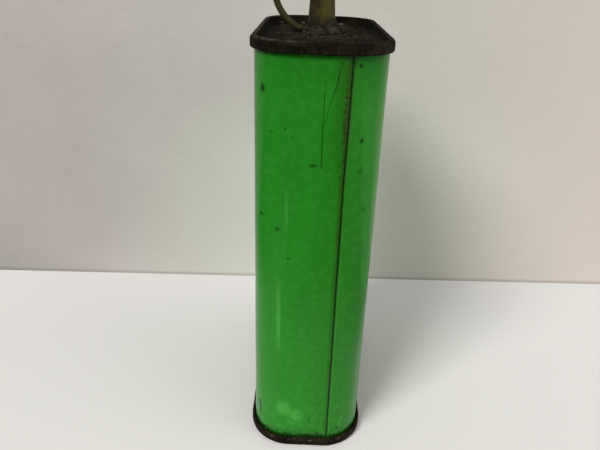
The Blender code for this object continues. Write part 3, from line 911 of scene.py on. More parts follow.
# %% [markdown]
# A rolled seam is never true: it dips a little everywhere but over the side seam's extra layers. Wear
# has also knocked the lid's crown down and its lower edge up, most of all on the seam side. The crown
# stops short of the sealing compound under it, and falls away only beyond the compound's edge.

# %% The seam of an end
ROLL_DIP = 0.10 * MM
ROLL_WAVES = 3
ROLL_GRAIN = (1.7 * MM, 1.1 * MM)
JUNCTION = 1.8 * MM
RIM_SAG = 0.26 * MM
SAG_WAVE = 7 * MM
SAG_INSIDE = 1.5 * MM
COMPOUND_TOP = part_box("top_seam_compound")[1]
COMPOUND_DOWN = TIN_HEIGHT - COMPOUND_TOP.z
COMPOUND_OUT = COMPOUND_TOP.x - HALF_WIDTH
CROWN_COVER = 0.05 * MM
SHOULDER_FALL = 1.5


def waves(flat, size, seed):
    """Noise from about -1 to 1 at places on the plane, in patches about as wide as size."""
    return np.array([noise.noise(Vector((x / size, y / size, seed))) for x, y in flat])


def roll_shift(distances, out, down, seed):
    """How far the outer wall of a seam is moved outwards, which is never more than nothing."""
    shifts = []
    for distance in distances:
        turn = 2 * math.pi * distance / OUTLINE
        broad = noise.noise(Vector((ROLL_WAVES * math.cos(turn), ROLL_WAVES * math.sin(turn), seed)))
        fine = noise.noise(Vector((distance / ROLL_GRAIN[0], down / ROLL_GRAIN[1], seed + 5)))
        away = min(abs(distance - SEAM_AT), abs(distance - SEAM_AT - OUTLINE)) / JUNCTION
        dip = ROLL_DIP * (1 - math.exp(-away * away))
        shifts.append(-dip * (0.75 + 0.45 * broad + 0.35 * fine))
    return np.minimum(shifts, 0.0)


def rim_sag(stations, out, down, moved_out):
    """How far wear has brought a ring of the lid's seam down."""
    share = 1 - 2 * down / SEAM_HEIGHT if out > 0 else max(0.0, 1 - down / SAG_INSIDE)
    near = 0.5 - 0.5 * stations.out[:, 1]
    sag = RIM_SAG * share * (0.3 + 0.7 * near) * (0.75 + 0.7 * waves(stations.place, SAG_WAVE, 3.0))
    if down >= COMPOUND_DOWN:
        return sag
    past = np.maximum(0.0, moved_out - COMPOUND_OUT - CROWN_COVER)
    return np.minimum(sag, COMPOUND_DOWN - CROWN_COVER - down + SHOULDER_FALL * past)


def seam_rows(stations, level, seed, sags=False):
    """Rings of a whole end's section, from the panel over the outside, and back along the inside."""
    rows = []
    for out, down in end_faces():
        shift = roll_shift(stations.distances, out, down, seed) if out > COVER_HOOK + FOLD_BEND else 0.0
        ring = stations.ring(out + shift, level(down))
        if sags:
            ring[:, 2] -= rim_sag(stations, out, down, out + shift)
        rows.append(ring)
    return rows


print("compound", in_mm(COMPOUND_DOWN), "mm under the crown")

# %% The lid
PANEL_ROWS = 56
SLOPE_ROWS = 5
BOSS_ROWS = 12
BANK_RADIUS = 7.6 * MM
BANK_WIDTH = 2.4 * MM
BANK_HEIGHT = 0.95 * MM
CRUST = 0.80 * MM
DENT = 0.10 * MM


def dirt_room(radius):
    """How high dirt may stand on the boss and stay clear of the flange, the ring's skirt and the strap."""
    radius = radius / MM
    return (0.12 + 0.28 * smooth((radius - 4.9) / 0.4) + 0.55 * smooth((radius - 5.8) / 1.4)) * MM


def lumpy(x, y, size, seed, coarseness, gaps):
    """Noise in five sizes at a place on the plane."""
    return noise.fractal(Vector((x / size, y / size, seed)), coarseness, gaps, 5)


def dirt(x, y):
    """How high the caked dirt stands at a place on the lid: a bank round the spout, crust elsewhere."""
    radius = math.hypot(x, y)
    bank = math.exp(-((max(0.0, radius - BANK_RADIUS) / BANK_WIDTH) ** 2))
    caked = BANK_HEIGHT * bank * clamp(0.50 + 1.2 * lumpy(x, y, 2.1 * MM, 3.1, 0.7, 2.1), 0.05, 1.3)
    crusty = CRUST * clamp(lumpy(x, y, 2.4 * MM, 6.4, 0.8, 2.2) + 0.1, 0.0, 1.0) * (1 - bank)
    return min(dirt_room(radius), caked + crusty) + DENT * waves([(x, y)], 6 * MM, 8.0)[0] * 0.5


def shares(count):
    """Even shares, the last of which is 1."""
    return [k / count for k in range(1, count + 1)]


def panel_rings():
    """Rings from the seam's foot in to the boss and its hole, each with its height."""
    rim = FINE.ring(PANEL_OUT, PANEL_TOP)[:, :2]
    angles = np.arctan2(rim[:, 1], rim[:, 0])
    turn = np.column_stack([np.cos(angles), np.sin(angles)])
    foot = turn * (BOSS_RADIUS + BOSS_SLOPE)
    rings = [(rim * (1 - s) + foot * s, PANEL_TOP) for s in shares(PANEL_ROWS)]
    for s in shares(SLOPE_ROWS):
        rings.append((turn * (BOSS_RADIUS + BOSS_SLOPE * (1 - s)), PANEL_TOP + BOSS_HEIGHT * smooth(s)))
    for k in range(1, BOSS_ROWS + 1):
        radius = BOSS_RADIUS + (HOLE_RADIUS - BOSS_RADIUS) * k / BOSS_ROWS
        rings.append((turn * radius, PANEL_TOP + BOSS_HEIGHT))
    return rings


def make_lid():
    above = [raised(flat, height + np.array([dirt(x, y) for x, y in flat])) for flat, height in panel_rings()]
    under = [raised(flat, height - SHEET) for flat, height in panel_rings()]
    seam = seam_rows(FINE, lambda down: TIN_HEIGHT - down, 2.0, sags=True)
    mesh = skin("lid", above[::-1] + seam + under, loop=True)
    return show("lid", mesh, LID_PLATE, TIN, "lid_tinplate", "top_end")


lid = make_lid()

# %% The base
BASE_ROWS = 16
BASE_REACH = 0.94
BASE_DISH = 0.25 * MM
BASE_WAVE = 5 * MM


def make_base():
    rim = ROUND.ring(PANEL_OUT, 0.0)[:, :2]
    under, above = [], []
    for k in range(1, BASE_ROWS + 1):
        flat = rim * (1 - BASE_REACH * k / BASE_ROWS)
        dish = BASE_DISH * smooth(k / BASE_ROWS)
        wave = DENT * waves(flat, BASE_WAVE, 4.0)
        under.append(raised(flat, COUNTERSINK + dish + wave))
        above.append(raised(flat, COUNTERSINK + SHEET + dish + wave))
    mesh = skin("base", under[::-1] + seam_rows(ROUND, lambda down: down, 11.0) + above)
    return show("base", mesh, BASE_PLATE, TIN, "base_tinplate", "bottom_end")


make_base()

# %% [markdown]
# ## Aged polythene
#
# Spout, ring, strap and cap are old soft polythene: olive-brown, slightly cloudy, stained by oil and
# darker where dirt has settled. Light goes a little way into it, so it gets some subsurface
# scattering, and a soft sheen instead of a hard gloss.

# %% Aged polythene
SPOUT_OLIVE = (0.058, 0.048, 0.0080)
SPOUT_BROWN = (0.013, 0.0085, 0.0018)
STRAP_OLIVE = (0.034, 0.030, 0.0095)
STRAP_DARK = (0.014, 0.012, 0.004)
GRIME = (0.008, 0.0065, 0.0035)
CLOUDY = 1.35


def polythene(name, light, dark, dirt_low, dirt_high, dark_side=None):
    """Aged plastic that is dirty below a height, and may be darker on one side."""
    made = Recipe(name, light, specular=0.12)
    streak = made.stain(1.4, 0.35, 0.68, detail=4, roughness=0.6, stretch=(1, 1, 5))
    made.coat(dark, streak * 0.55)
    if dark_side:
        made.coat(dark, made.x.step(*dark_side) * 0.85)
    made.coat([c * CLOUDY for c in light], made.stain(2.6, 0.45, 0.7, detail=3, offset=(3, 1, 4)) * 0.35)
    uneven = made.z + made.cloud(0.6, detail=3) * 3
    made.coat(GRIME, uneven.step(dirt_low, dirt_high, 1, 0) * 0.85)
    glow = {"Subsurface Weight": 0.12, "Subsurface Scale": 1 * MM, "Subsurface Radius": (1.0, 0.8, 0.25)}
    fill(made.shader, glow)
    made.relief(made.cloud(0.35, detail=3), 0.012)
    made.relief(made.cloud(1.8, detail=2, stretch=(1, 1, 3)), 0.05)
    return made.finish(made.stain(0.9, 0.3, 0.7, 0.42, 0.62, detail=3, offset=(7, 7, 7)))


SPOUT_PLASTIC = polythene("spout_polythene", SPOUT_OLIVE, SPOUT_BROWN, 126.6, 131.2, (0.9, -1.6))
RING_PLASTIC = polythene("ring_polythene", STRAP_DARK, GRIME, 124.6, 126.2)
STRAP_PLASTIC = polythene("strap_polythene", STRAP_OLIVE, STRAP_DARK, 124.4, 126.6)
print("three tones of polythene")

# %% [markdown]
# ## Turned plastic parts
#
# Spout, ring and cap are turned shapes. Each is drawn as half a section, every corner of which gets
# a small round, because a moulding has no razor edges. The rounded section is then spun about the
# spout's axis. Two faint parting lines, where the mould's halves met, run up opposite sides.

# %% Turned parts
TURN_STEPS = 96
PARTING_TURN = math.radians(26)
PARTING_RISE = 0.05 * MM
PARTING_WIDTH = 0.16 * MM


def rounded(profile, radius, steps=4, closed=True):
    """The profile with each of its corners cut back and rounded."""
    points = []
    count = len(profile)
    for k, point in enumerate(profile):
        here = Vector(point)
        if not closed and k in (0, count - 1):
            points.append(tuple(here))
            continue
        before = Vector(profile[k - 1]) - here
        after = Vector(profile[(k + 1) % count]) - here
        reach = min(radius, before.length * 0.45, after.length * 0.45)
        start, stop = here + before.normalized() * reach, here + after.normalized() * reach
        for t in [step / steps for step in range(steps + 1)]:
            points.append(tuple(start * (1 - t) ** 2 + here * 2 * t * (1 - t) + stop * t * t))
    return points


def turned(name, profile, loop, parting=0.0):
    """Spin a half section about the Z axis. Parting gives the height of the mould lines."""
    rows = []
    for radius, height in profile:
        row = []
        for k in range(TURN_STEPS):
            angle = 2 * math.pi * k / TURN_STEPS
            off = abs((angle - PARTING_TURN + math.pi / 2) % math.pi - math.pi / 2)
            away = off * max(radius, PARTING_WIDTH)
            full = radius + parting * math.exp(-((away / PARTING_WIDTH) ** 2))
            row.append((full * math.cos(angle), full * math.sin(angle), height))
        rows.append(row)
    return skin(name, rows, loop=loop, sharp=50)


print("parting lines at", round(math.degrees(PARTING_TURN)), "degrees")

# %% The spout
SPOUT_LOW, SPOUT_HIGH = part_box("nozzle")
RING_LOW, RING_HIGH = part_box("strap_ring")
FIT_GAP = 0.3 * MM
SEAT_GAP = 0.15 * MM
BARB_RADIUS = SPOUT_HIGH.x
BARB_SLOPE = 0.9 * MM
BOSS_TOP = PANEL_TOP + BOSS_HEIGHT
BARB_TOP = BOSS_TOP - SHEET - SEAT_GAP
FLANGE_BOTTOM = BOSS_TOP + SEAT_GAP
FLANGE_TOP = RING_LOW.z - SEAT_GAP
FLANGE_RADIUS = 4.9 * MM
NECK_RADIUS = HOLE_RADIUS - FIT_GAP
GROOVE_RADIUS = 3.5 * MM
CONE_FOOT = RING_HIGH.z + SEAT_GAP
CONE_FOOT_RADIUS = 3.95 * MM
CONE_ROWS = 14
TIP_RADIUS = 2.2 * MM
SPOUT_TIP = SPOUT_HIGH.z
BORE_RADIUS = 2.6 * MM
BORE_TOP_RADIUS = 1.3 * MM
ORIFICE = 0.8 * MM
ORIFICE_FOOT = SPOUT_TIP - 3.0 * MM


def cone_radius(height):
    """The spout's outer radius at a height above its shoulder."""
    share = (height - CONE_FOOT) / (SPOUT_TIP - CONE_FOOT)
    return CONE_FOOT_RADIUS + (TIP_RADIUS - CONE_FOOT_RADIUS) * share


def make_spout():
    cone = [CONE_FOOT + (SPOUT_TIP - CONE_FOOT) * k / CONE_ROWS for k in range(CONE_ROWS + 1)]
    low = [
        (BORE_RADIUS, SPOUT_LOW.z),
        (BARB_RADIUS - BARB_SLOPE, SPOUT_LOW.z),
        (BARB_RADIUS, BARB_TOP - BARB_SLOPE),
        (BARB_RADIUS, BARB_TOP),
        (NECK_RADIUS, BARB_TOP),
        (NECK_RADIUS, FLANGE_BOTTOM),
        (FLANGE_RADIUS, FLANGE_BOTTOM),
        (FLANGE_RADIUS, FLANGE_TOP),
        (GROOVE_RADIUS, FLANGE_TOP),
        (GROOVE_RADIUS, CONE_FOOT),
    ]
    bore = [
        (ORIFICE, SPOUT_TIP),
        (ORIFICE, ORIFICE_FOOT),
        (BORE_TOP_RADIUS, ORIFICE_FOOT - 0.8 * MM),
        (BORE_RADIUS, CONE_FOOT),
    ]
    profile = low + [(cone_radius(height), height) for height in cone] + bore
    mesh = turned("spout", rounded(profile, 0.22 * MM, steps=3), loop=True, parting=PARTING_RISE)
    return show("spout", mesh, SPOUT_PLASTIC, TIN, "spout_polythene", "nozzle")


make_spout()

# %% The ring
RING_BORE = 3.75 * MM
RING_RADIUS = 5.0 * MM


def make_ring():
    low, high = RING_LOW.z, RING_HIGH.z
    profile = [(RING_BORE, low), (RING_RADIUS, low), (RING_RADIUS, high), (RING_BORE, high)]
    mesh = turned("ring", rounded(profile, 0.3 * MM), loop=True)
    return show("ring", mesh, RING_PLASTIC, TETHER, "strap_polythene", "strap_ring")


make_ring()

# %% [markdown]
# Oily dirt has caked on the ring and up against the cone, until the ring hardly shows. It is a lumpy
# collar with its own section at every angle: tall on the right, low where the strap leaves. It turns
# with the ring that it sticks to, so it ends a hair above the lid.

# %% Caked dirt on the ring
CAKE_STEPS = 220
CAKE_ROWS = 20
CAKE_GAP = 0.12 * MM
CAKE_LOW = 0.9 * MM
CAKE_TALL = 2.7 * MM
CAKE_TALL_AT = math.radians(-22)
CAKE_FOOT = RING_LOW.z - 0.2 * MM
CAKE_SKIRT = 5.5 * MM
CAKE_SPREAD = 1.3 * MM
CAKE_LIFT = 0.45 * MM
CAKE_LUMP = 0.40 * MM
CAKE_GRAIN = 1.5 * MM
CAKE_WAVES = 1.6
CAKE_UNDER = ((4.8 * MM, RING_LOW.z + 0.4 * MM), (4.3 * MM, RING_HIGH.z - 0.2 * MM))


def cake_row(angle):
    """The collar's section at an angle, from the cone down its outside and back under the ring."""
    x, y = math.cos(angle), math.sin(angle)
    swell = max(0.0, math.cos(angle - CAKE_TALL_AT)) ** 1.3
    broad = noise.fractal(Vector((CAKE_WAVES * x, CAKE_WAVES * y, 1.7)), 0.8, 2.1, 4)
    top = RING_HIGH.z + (CAKE_LOW + (CAKE_TALL - CAKE_LOW) * swell) * clamp(1 + 0.5 * broad, 0.6, 1.25)
    skirt, foot = CAKE_SKIRT + CAKE_SPREAD * swell, CAKE_FOOT + CAKE_LIFT * swell
    inner = cone_radius(top) + CAKE_GAP
    row = []
    for t in [step / CAKE_ROWS for step in range(CAKE_ROWS + 1)]:
        radius = inner + (skirt - inner) * t ** 0.9
        height = top + (foot - top) * t
        spot = Vector((radius * x, radius * y, height)) / CAKE_GRAIN
        lump = CAKE_LUMP * noise.fractal(spot, 0.7, 2.2, 5) * math.sin(math.pi * t) ** 0.4
        radius = max(inner, radius + lump)
        row.append((radius * x, radius * y, height + 0.5 * lump))
    return row + [(radius * x, radius * y, height) for radius, height in CAKE_UNDER]


def make_caked_dirt():
    rows = [cake_row(2 * math.pi * k / CAKE_STEPS) for k in range(CAKE_STEPS)]
    mesh = skin("caked_dirt", rows, loop=True, sharp=75)
    return show("caked_dirt", mesh, CAKED_DIRT, TETHER, "lid_tinplate")


make_caked_dirt()

# %% The cap
CAP_LOW, CAP_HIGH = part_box("cap")
CAP_COLLAR_RADIUS = CAP_HIGH.x
CAP_BORE_LOW = cone_radius(CAP_LOW.z) + FIT_GAP
CAP_BORE_HIGH = TIP_RADIUS + FIT_GAP
CAP_WALL = 1.0 * MM
COLLAR_HEIGHT = 2.4 * MM
PLUG_RADIUS = 0.5 * MM
PLUG_LENGTH = 2.2 * MM


def make_cap():
    ceiling = SPOUT_TIP + FIT_GAP
    crown = CAP_BORE_HIGH + CAP_WALL
    collar_top = CAP_LOW.z + COLLAR_HEIGHT
    profile = [(0.15 * MM, CAP_HIGH.z), (crown - 0.6 * MM, CAP_HIGH.z), (crown, CAP_HIGH.z - 0.7 * MM)]
    profile += [(CAP_BORE_LOW + CAP_WALL, collar_top), (CAP_COLLAR_RADIUS, collar_top)]
    profile += [(CAP_COLLAR_RADIUS, CAP_LOW.z), (CAP_BORE_LOW, CAP_LOW.z), (CAP_BORE_HIGH, ceiling)]
    plug_end = ceiling - PLUG_LENGTH
    profile += [(PLUG_RADIUS, ceiling), (PLUG_RADIUS, plug_end), (0.1 * MM, plug_end)]
    mesh = turned("cap_shell", rounded(profile, 0.35 * MM, closed=False), loop=False)
    return show("cap_shell", mesh, STRAP_PLASTIC, CAP, "strap_polythene", "cap")


make_cap()

# %% [markdown]
# ## The strap
#
# The strap is one moulded cord of polythene that leaves the ring, bows out beside the spout and meets
# the cap's collar. It is a path with a round section, so Geometry Nodes sweep it. The section carries
# a fine ridge on each side, where the mould's halves met. The strap narrows a little into the ring
# and flares where it grows into the collar.

# %% The strap's path
STRAP_LOW, STRAP_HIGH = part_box("cap_strap")
STRAP_RADIUS = STRAP_HIGH.y
STRAP_FOOT = (RING_LOW.z + RING_HIGH.z) / 2
STRAP_HEAD = CAP_LOW.z + COLLAR_HEIGHT / 2
STRAP_BOW = STRAP_LOW.x + STRAP_RADIUS
STRAP_KNOTS = [
    # place across and up, then where its two handles lie from there, in millimetres
    ((-4.7 * MM, STRAP_FOOT), (0.5, 0.0), (-2.1, 0.0)),
    ((STRAP_BOW, 135.9 * MM), (0.0, -7.8), (0.0, 6.0)),
    ((-4.05 * MM, STRAP_HEAD), (-5.1, 0.0), (0.5, 0.0)),
]


def strap_path():
    """A curve from inside the ring, out in a bow, and back into the cap's collar."""
    curve = bpy.data.curves.new("strap_path", "CURVE")
    curve.dimensions = "3D"
    spline = curve.splines.new("BEZIER")
    spline.bezier_points.add(len(STRAP_KNOTS) - 1)
    for point, (place, left, right) in zip(spline.bezier_points, STRAP_KNOTS):
        point.handle_left_type = point.handle_right_type = "FREE"
        point.co = (place[0], 0, place[1])
        point.handle_left = (place[0] + left[0] * MM, 0, place[1] + left[1] * MM)
        point.handle_right = (place[0] + right[0] * MM, 0, place[1] + right[1] * MM)
    spline.resolution_u = 32
    return curve


print("strap from", in_mm(STRAP_FOOT), "to", in_mm(STRAP_HEAD), "mm up")

# %% [markdown]
# Geometry Nodes are written with the same values. A tree of them has named inputs, and it is run on a
# mesh or a curve to hand back a plain mesh.

# %% A tree of Geometry Nodes
class Tree:
    """A Geometry Nodes tree with named inputs, which all get their values before it runs."""

    def __init__(self, name, **inputs):
        self.tree = bpy.data.node_groups.new(name, "GeometryNodeTree")
        self.inputs = inputs
        face = self.tree.interface
        face.new_socket("Geometry", in_out="INPUT", socket_type="NodeSocketGeometry")
        for key, value in inputs.items():
            kind = {int: "Int", float: "Float"}.get(type(value), "Material")
            face.new_socket(key, in_out="INPUT", socket_type="NodeSocket" + kind)
        face.new_socket("Geometry", in_out="OUTPUT", socket_type="NodeSocketGeometry")
        outputs = self.tree.nodes.new("NodeGroupInput").outputs
        self.start = {socket.name: Value(socket) for socket in outputs}

    def add(self, kind, sockets=None, output=0, **settings):
        return grow(self.tree, kind, sockets, output, **settings)

    def finish(self, geometry):
        real = self.add("GeometryNodeRealizeInstances", {0: geometry})
        coated = self.add("GeometryNodeSetMaterial", {"Geometry": real, "Material": self.start["Finish"]})
        fill(self.tree.nodes.new("NodeGroupOutput"), {0: coated})
        return self

    def run(self, data, name):
        """Run the tree on a mesh or a curve, and give back the plain mesh that it makes."""
        holder = bpy.data.objects.new(name, data)
        bpy.context.scene.collection.objects.link(holder)
        modifier = holder.modifiers.new("tree", "NODES")
        modifier.node_group = self.tree
        for item in self.tree.interface.items_tree:
            if item.in_out == "INPUT" and item.name in self.inputs:
                modifier[item.identifier] = self.inputs[item.name]
        graph = bpy.context.evaluated_depsgraph_get()
        mesh = bpy.data.meshes.new_from_object(holder.evaluated_get(graph), depsgraph=graph)
        bpy.data.objects.remove(holder)
        mesh.name = name
        return mesh


print("trees ready")

# %% The strap
STRAP_RINGS = 96
STRAP_SIDES = 32
RIDGE_SPAN = 0.16


def strap_tree():
    """Sweep a round section with a ridge on each side. Root and Flare scale it at its two ends."""
    tree = Tree("swept strap", Radius=STRAP_RADIUS, Ridge=0.06 * MM, Root=0.6, Flare=1.12, Taper=1.1 * MM,
                Finish=STRAP_PLASTIC)
    start, taper = tree.start, tree.start["Taper"]
    path = tree.add("GeometryNodeResampleCurve", {"Curve": start["Geometry"], "Count": STRAP_RINGS})
    along = tree.add("GeometryNodeSplineParameter", output="Length")
    left = tree.add("GeometryNodeSplineLength", output="Length") - along
    scale = along.step(0, taper, start["Root"], 1) * left.step(0, taper, start["Flare"], 1)
    sockets = {"Resolution": STRAP_SIDES, "Radius": start["Radius"]}
    circle = tree.add("GeometryNodeCurvePrimitiveCircle", sockets)
    place = tree.add("GeometryNodeInputPosition")
    off_ridge = place.parts()[1].math("ABSOLUTE").math("DIVIDE", start["Radius"])
    push = place.vector("NORMALIZE").scaled(off_ridge.step(0, RIDGE_SPAN, start["Ridge"], 0, "LINEAR"))
    section = tree.add("GeometryNodeSetPosition", {"Geometry": circle, "Offset": push})
    sockets = {"Curve": path, "Profile Curve": section, "Scale": scale, "Fill Caps": True}
    return tree.finish(tree.add("GeometryNodeCurveToMesh", sockets))


def make_strap():
    mesh = strap_tree().run(strap_path(), "strap")
    mesh.shade_smooth()
    mesh.set_sharp_from_angle(angle=math.radians(60))
    piece = show("strap", mesh, STRAP_PLASTIC, None, "strap_polythene", "cap_strap")
    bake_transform(piece)


make_strap()

# %% [markdown]
# ## Grit on the lid
#
# Crumbs of dried dirt lie round the spout, where nobody wipes. They follow the lid's surface, so
# Geometry Nodes scatter them over it: more near the spout, fewer towards the seam, each one turned,
# flattened and sized at random from a fixed seed.

# %% Grit on the lid
GRIT_FROM = 4.9 * MM
GRIT_REACH = 11.5 * MM
RING_CLEAR = 5.0 * MM
GRIT_TOP = BOSS_TOP + 1.2 * MM
LEVEL_ENOUGH = 0.6
GRIT_SIZES = {0: (0.25, 0.25, 0.15), 1: (1.7, 1.4, 0.7)}
GRIT_TURNS = {0: (-0.4, -0.4, 0.0), 1: (0.4, 0.4, 6.28)}


def grit_tree():
    """Scatter crumbs on level ground: heaped up to Reach from the spout, and strewn in Patches beyond."""
    tree = Tree("scattered grit", Size=0.24 * MM, Density=0.9e6, Reach=GRIT_REACH, Patches=180.0, Seed=7,
                Finish=CAKED_DIRT)
    start = tree.start
    x, y, z = tree.add("GeometryNodeInputPosition").parts()
    away = (x.math("POWER", 2) + y.math("POWER", 2)).math("SQRT")
    level = tree.add("GeometryNodeInputNormal").parts()[2].math("GREATER_THAN", LEVEL_ENOUGH)
    fade = away.step(GRIT_FROM, start["Reach"], 1, 0, "LINEAR")
    heaped = z.math("LESS_THAN", GRIT_TOP) * fade.math("POWER", 1.6)
    patchy = tree.add("ShaderNodeTexNoise", {"Scale": start["Patches"], "Detail": 2})
    strewn = patchy.math("GREATER_THAN", 0.56) * 0.10
    density = away.math("GREATER_THAN", RING_CLEAR) * level * (heaped + strewn) * start["Density"]
    sockets = {"Mesh": start["Geometry"], "Density": density, "Seed": start["Seed"]}
    points = tree.add("GeometryNodeDistributePointsOnFaces", sockets)
    crumb = tree.add("GeometryNodeMeshIcoSphere", {"Radius": start["Size"], "Subdivisions": 2})
    size = tree.add("FunctionNodeRandomValue", GRIT_SIZES, data_type="FLOAT_VECTOR")
    turn = tree.add("FunctionNodeRandomValue", GRIT_TURNS, data_type="FLOAT_VECTOR")
    spin = tree.add("FunctionNodeEulerToRotation", {0: turn})
    sockets = {"Points": points, "Instance": crumb, "Rotation": spin, "Scale": size}
    return tree.finish(tree.add("GeometryNodeInstanceOnPoints", sockets))


def make_grit():
    mesh = grit_tree().run(lid.data.copy(), "grit")
    mesh.shade_smooth()
    show("grit", mesh, CAKED_DIRT, TIN, "lid_tinplate")


make_grit()

# %% [markdown]
# ## What stays from the frame
#
# The solder in the side seam and the compound in the two double seams have the right shape already,
# and hardly any of them shows. They keep their solids and get a finish of their own.

# %% Solder and compound
def solder():
    made = Recipe("solder", (0.34, 0.33, 0.31), metallic=1.0)
    made.coat((0.13, 0.12, 0.10), made.stain(1.1, 0.35, 0.7, detail=4, roughness=0.6))
    made.relief(made.cloud(0.9, detail=2), 0.05)
    return made.finish(made.stain(0.6, 0.3, 0.7, 0.3, 0.55, detail=3))


def compound():
    made = Recipe("sealing_compound", (0.24, 0.22, 0.18))
    made.coat((0.17, 0.155, 0.13), made.stain(0.8, 0.35, 0.65, detail=3))
    made.relief(made.cloud(0.4, detail=2), 0.03)
    return made.finish(made.stain(0.5, 0.3, 0.7, 0.7, 0.9, detail=2))


def refinish(material, *nodes):
    for node in nodes:
        for place in frame["nodes"][node].material_slots:
            place.material = material
        print(node, "keeps its solid")


refinish(solder(), "side_seam_solder")
refinish(compound(), "top_seam_compound", "bottom_seam_compound")

# %% [markdown]
# ## The studio
#
# The tin stands on a pale table a hand's breadth from a pale wall. Both are stage, not object. The
# wall shows from the front alone, and it lets soft light through, so that the tin can be looked at
# from behind. The camera sees the whole table. For the light and for the tin's gloss it ends, as a
# real one does: TABLE_END in front of the tin and TABLE_SIDE to its left, with a soft edge. In the
# gloss alone it darkens to the right as well.

# %% Table and wall
WALL_FOOT = ((-142.3, 68.0), (137.2, 74.8))
WALL_REACH = 620.0
WALL_TALL = 460.0
TABLE_REACH = 1500.0
TABLE_END = 125.0
TABLE_SIDE = 115.0
TABLE_BEYOND = (0.02, 0.02, 0.02)


def stage_plane(name, corners, material):
    mesh = bpy.data.meshes.new(name)
    mesh.from_pydata([tuple(c * MM for c in corner) for corner in corners], [], [(0, 1, 2, 3)])
    mesh.materials.append(material)
    plane = bpy.data.objects.new(name, mesh)
    bpy.context.scene.collection.objects.link(plane)
    plane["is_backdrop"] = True
    return plane


def light_path(made, output):
    return grow(made.tree, "ShaderNodeLightPath", output=output)


def one_sided(made, beyond=None):
    """Let the plane vanish from behind. For all but the camera, it may also be dark where beyond is 1."""
    front = Value(made.shader.outputs[0])
    if beyond:
        dark = grow(made.tree, "ShaderNodeBsdfDiffuse", {0: TABLE_BEYOND})
        share = (1 - light_path(made, "Is Camera Ray")) * beyond
        front = grow(made.tree, "ShaderNodeMixShader", {0: share, 1: front, 2: dark})
    behind = grow(made.tree, "ShaderNodeNewGeometry", output="Backfacing")
    clear = grow(made.tree, "ShaderNodeBsdfTransparent")
    surface = grow(made.tree, "ShaderNodeMixShader", {0: behind, 1: front, 2: clear})
    fill(made.tree.nodes["Material Output"], {"Surface": surface})


def table_finish():
    made = Recipe("table", (0.600, 0.583, 0.558), specular=0.2)
    ahead = made.y.step(50 - TABLE_END, -50 - TABLE_END) * made.x.step(170, 70)
    left = made.x.step(40 - TABLE_SIDE, -40 - TABLE_SIDE)
    right = light_path(made, "Is Glossy Ray") * made.x.step(45, 85, 0, 0.6)
    one_sided(made, most(ahead, left, right))
    return made.finish(0.75)


def wall_finish():
    made = Recipe("wall", (0.430, 0.395, 0.370), specular=0.1)
    x, z = made.x, made.z
    made.coat((0.465, 0.425, 0.400), made.stain(45, 0.3, 0.7, detail=4, roughness=0.6))
    # Painted light: the wall is lighter and greener near the tin, as light thrown back off the green print,
    # less so high up.
    painted_bounce = (x - 15).math("ABSOLUTE").step(20, 130, 1, 0) * z.step(60, 100, 0.9, 0.35)
    made.coat((0.530, 0.550, 0.475), painted_bounce)
    # Painted light: the right of the wall is lighter and warmer.
    made.coat((0.535, 0.478, 0.430), x.step(30, 140) * 0.8)
    # Painted shadow: a dark line along the wall's foot, where it meets the table.
    made.coat((0.20, 0.19, 0.17), z.step(2.2, 0.6, 0, 0.45))
    made.relief(made.cloud(3, detail=3), 0.15)
    one_sided(made)
    return made.finish(0.9)


def make_stage():
    far = TABLE_REACH
    stage_plane("table", [(-far, -far, 0), (far, -far, 0), (far, far, 0), (-far, far, 0)], table_finish())
    (left_x, left_y), (right_x, right_y) = WALL_FOOT
    slope = (right_y - left_y) / (right_x - left_x)
    foot = [(x, left_y + slope * (x - left_x), 0) for x in (-WALL_REACH, WALL_REACH)]
    top = [(x, y, WALL_TALL) for x, y, _ in foot[::-1]]
    wall = stage_plane("wall", foot + top, wall_finish())
    wall.visible_diffuse = False
    wall.visible_shadow = False
    print("wall", round(math.degrees(math.atan(slope)), 2), "degrees off the tin's width")


make_stage()

# %% [markdown]
# ## Light
#
# Two soft lamps shine from high in front, the stronger one on the left, and an even sky fills the
# rest. They are sun lamps made wide: their light is the same everywhere, so they leave no pool or
# edge on the floor. Together they reach about the level at which a colour renders as it is written.

# %% Light
SKY = 0.54
SKY_COLOUR = (1.0, 0.99, 0.97, 1.0)
LAMPS = [
    # name, where it shines from, width in degrees, strength
    ("key", (-0.37, -0.46, 0.56), 23.0, 3.00),
    ("fill", (0.75, -0.25, 0.30), 56.0, 1.10),
]


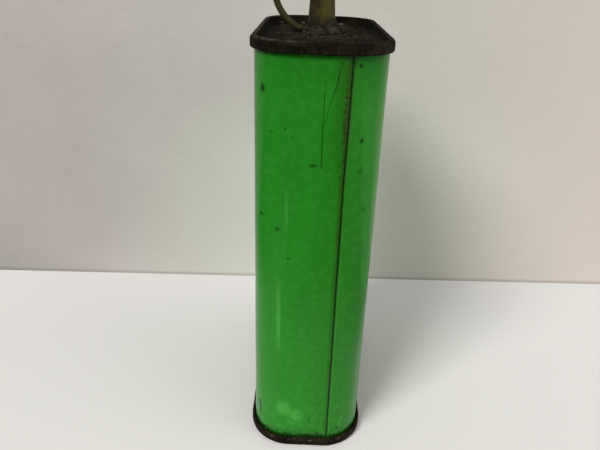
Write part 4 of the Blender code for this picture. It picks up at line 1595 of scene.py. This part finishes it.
def add_light():
    world = bpy.data.worlds.new("studio")
    world.use_nodes = True
    colour, strength = world.node_tree.nodes["Background"].inputs[:2]
    colour.default_value = SKY_COLOUR
    strength.default_value = SKY
    bpy.context.scene.world = world
    for name, place, width, strength in LAMPS:
        lamp = bpy.data.lights.new(name, "SUN")
        lamp.angle = math.radians(width)
        lamp.energy = strength
        holder = bpy.data.objects.new(name, lamp)
        holder.rotation_euler = (-Vector(place)).to_track_quat("-Z", "Y").to_euler()
        bpy.context.scene.collection.objects.link(holder)
        print(name, strength, "over", width, "degrees")


add_light()
bpy.context.scene.view_settings.view_transform = "Standard"
print("sky", SKY)

# %% [markdown]
# ## Camera
#
# The camera looks down on the narrow face from a little to the left, turned slightly, as the
# photograph was taken. Its place and turn come from fitting the tin's outlines.

# %% Camera
PITCH, ROLL, YAW = math.radians(25.4459), math.radians(-1.9234), math.radians(-0.3517)
CAMERA_PLACE = Vector((-3.1591, -165.6764, 141.511)) * MM
FOCAL_PIXELS = 550.91
PICTURE_WIDTH = 600
SENSOR = 36.0


def add_camera():
    forward = Vector((math.sin(YAW) * math.cos(PITCH), math.cos(YAW) * math.cos(PITCH), -math.sin(PITCH)))
    level = Vector((math.cos(YAW), -math.sin(YAW), 0))
    down = forward.cross(level)
    right = level * math.cos(ROLL) + down * math.sin(ROLL)
    under = down * math.cos(ROLL) - level * math.sin(ROLL)
    lens = bpy.data.cameras.new("camera")
    lens.sensor_fit = "HORIZONTAL"
    lens.sensor_width = SENSOR
    lens.lens = FOCAL_PIXELS / PICTURE_WIDTH * SENSOR
    lens.clip_start = 0.005
    lens.clip_end = 10.0
    camera = bpy.data.objects.new("camera", lens)
    turn = Matrix((right, -under, -forward)).transposed()
    camera.matrix_world = Matrix.Translation(CAMERA_PLACE) @ turn.to_4x4()
    bpy.context.scene.collection.objects.link(camera)
    bpy.context.scene.camera = camera
    return camera


camera = add_camera()
print("camera", [in_mm(c) for c in camera.location], "lens", round(camera.data.lens, 2))

# %% [markdown]
# ## Finish
#
# The box of the dressed tin is printed, so that it can be compared with the solids' box printed at
# the start.

# %% Sizes and finish
scene_low, scene_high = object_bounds()
print("visual box", [in_mm(c) for c in scene_high - scene_low])
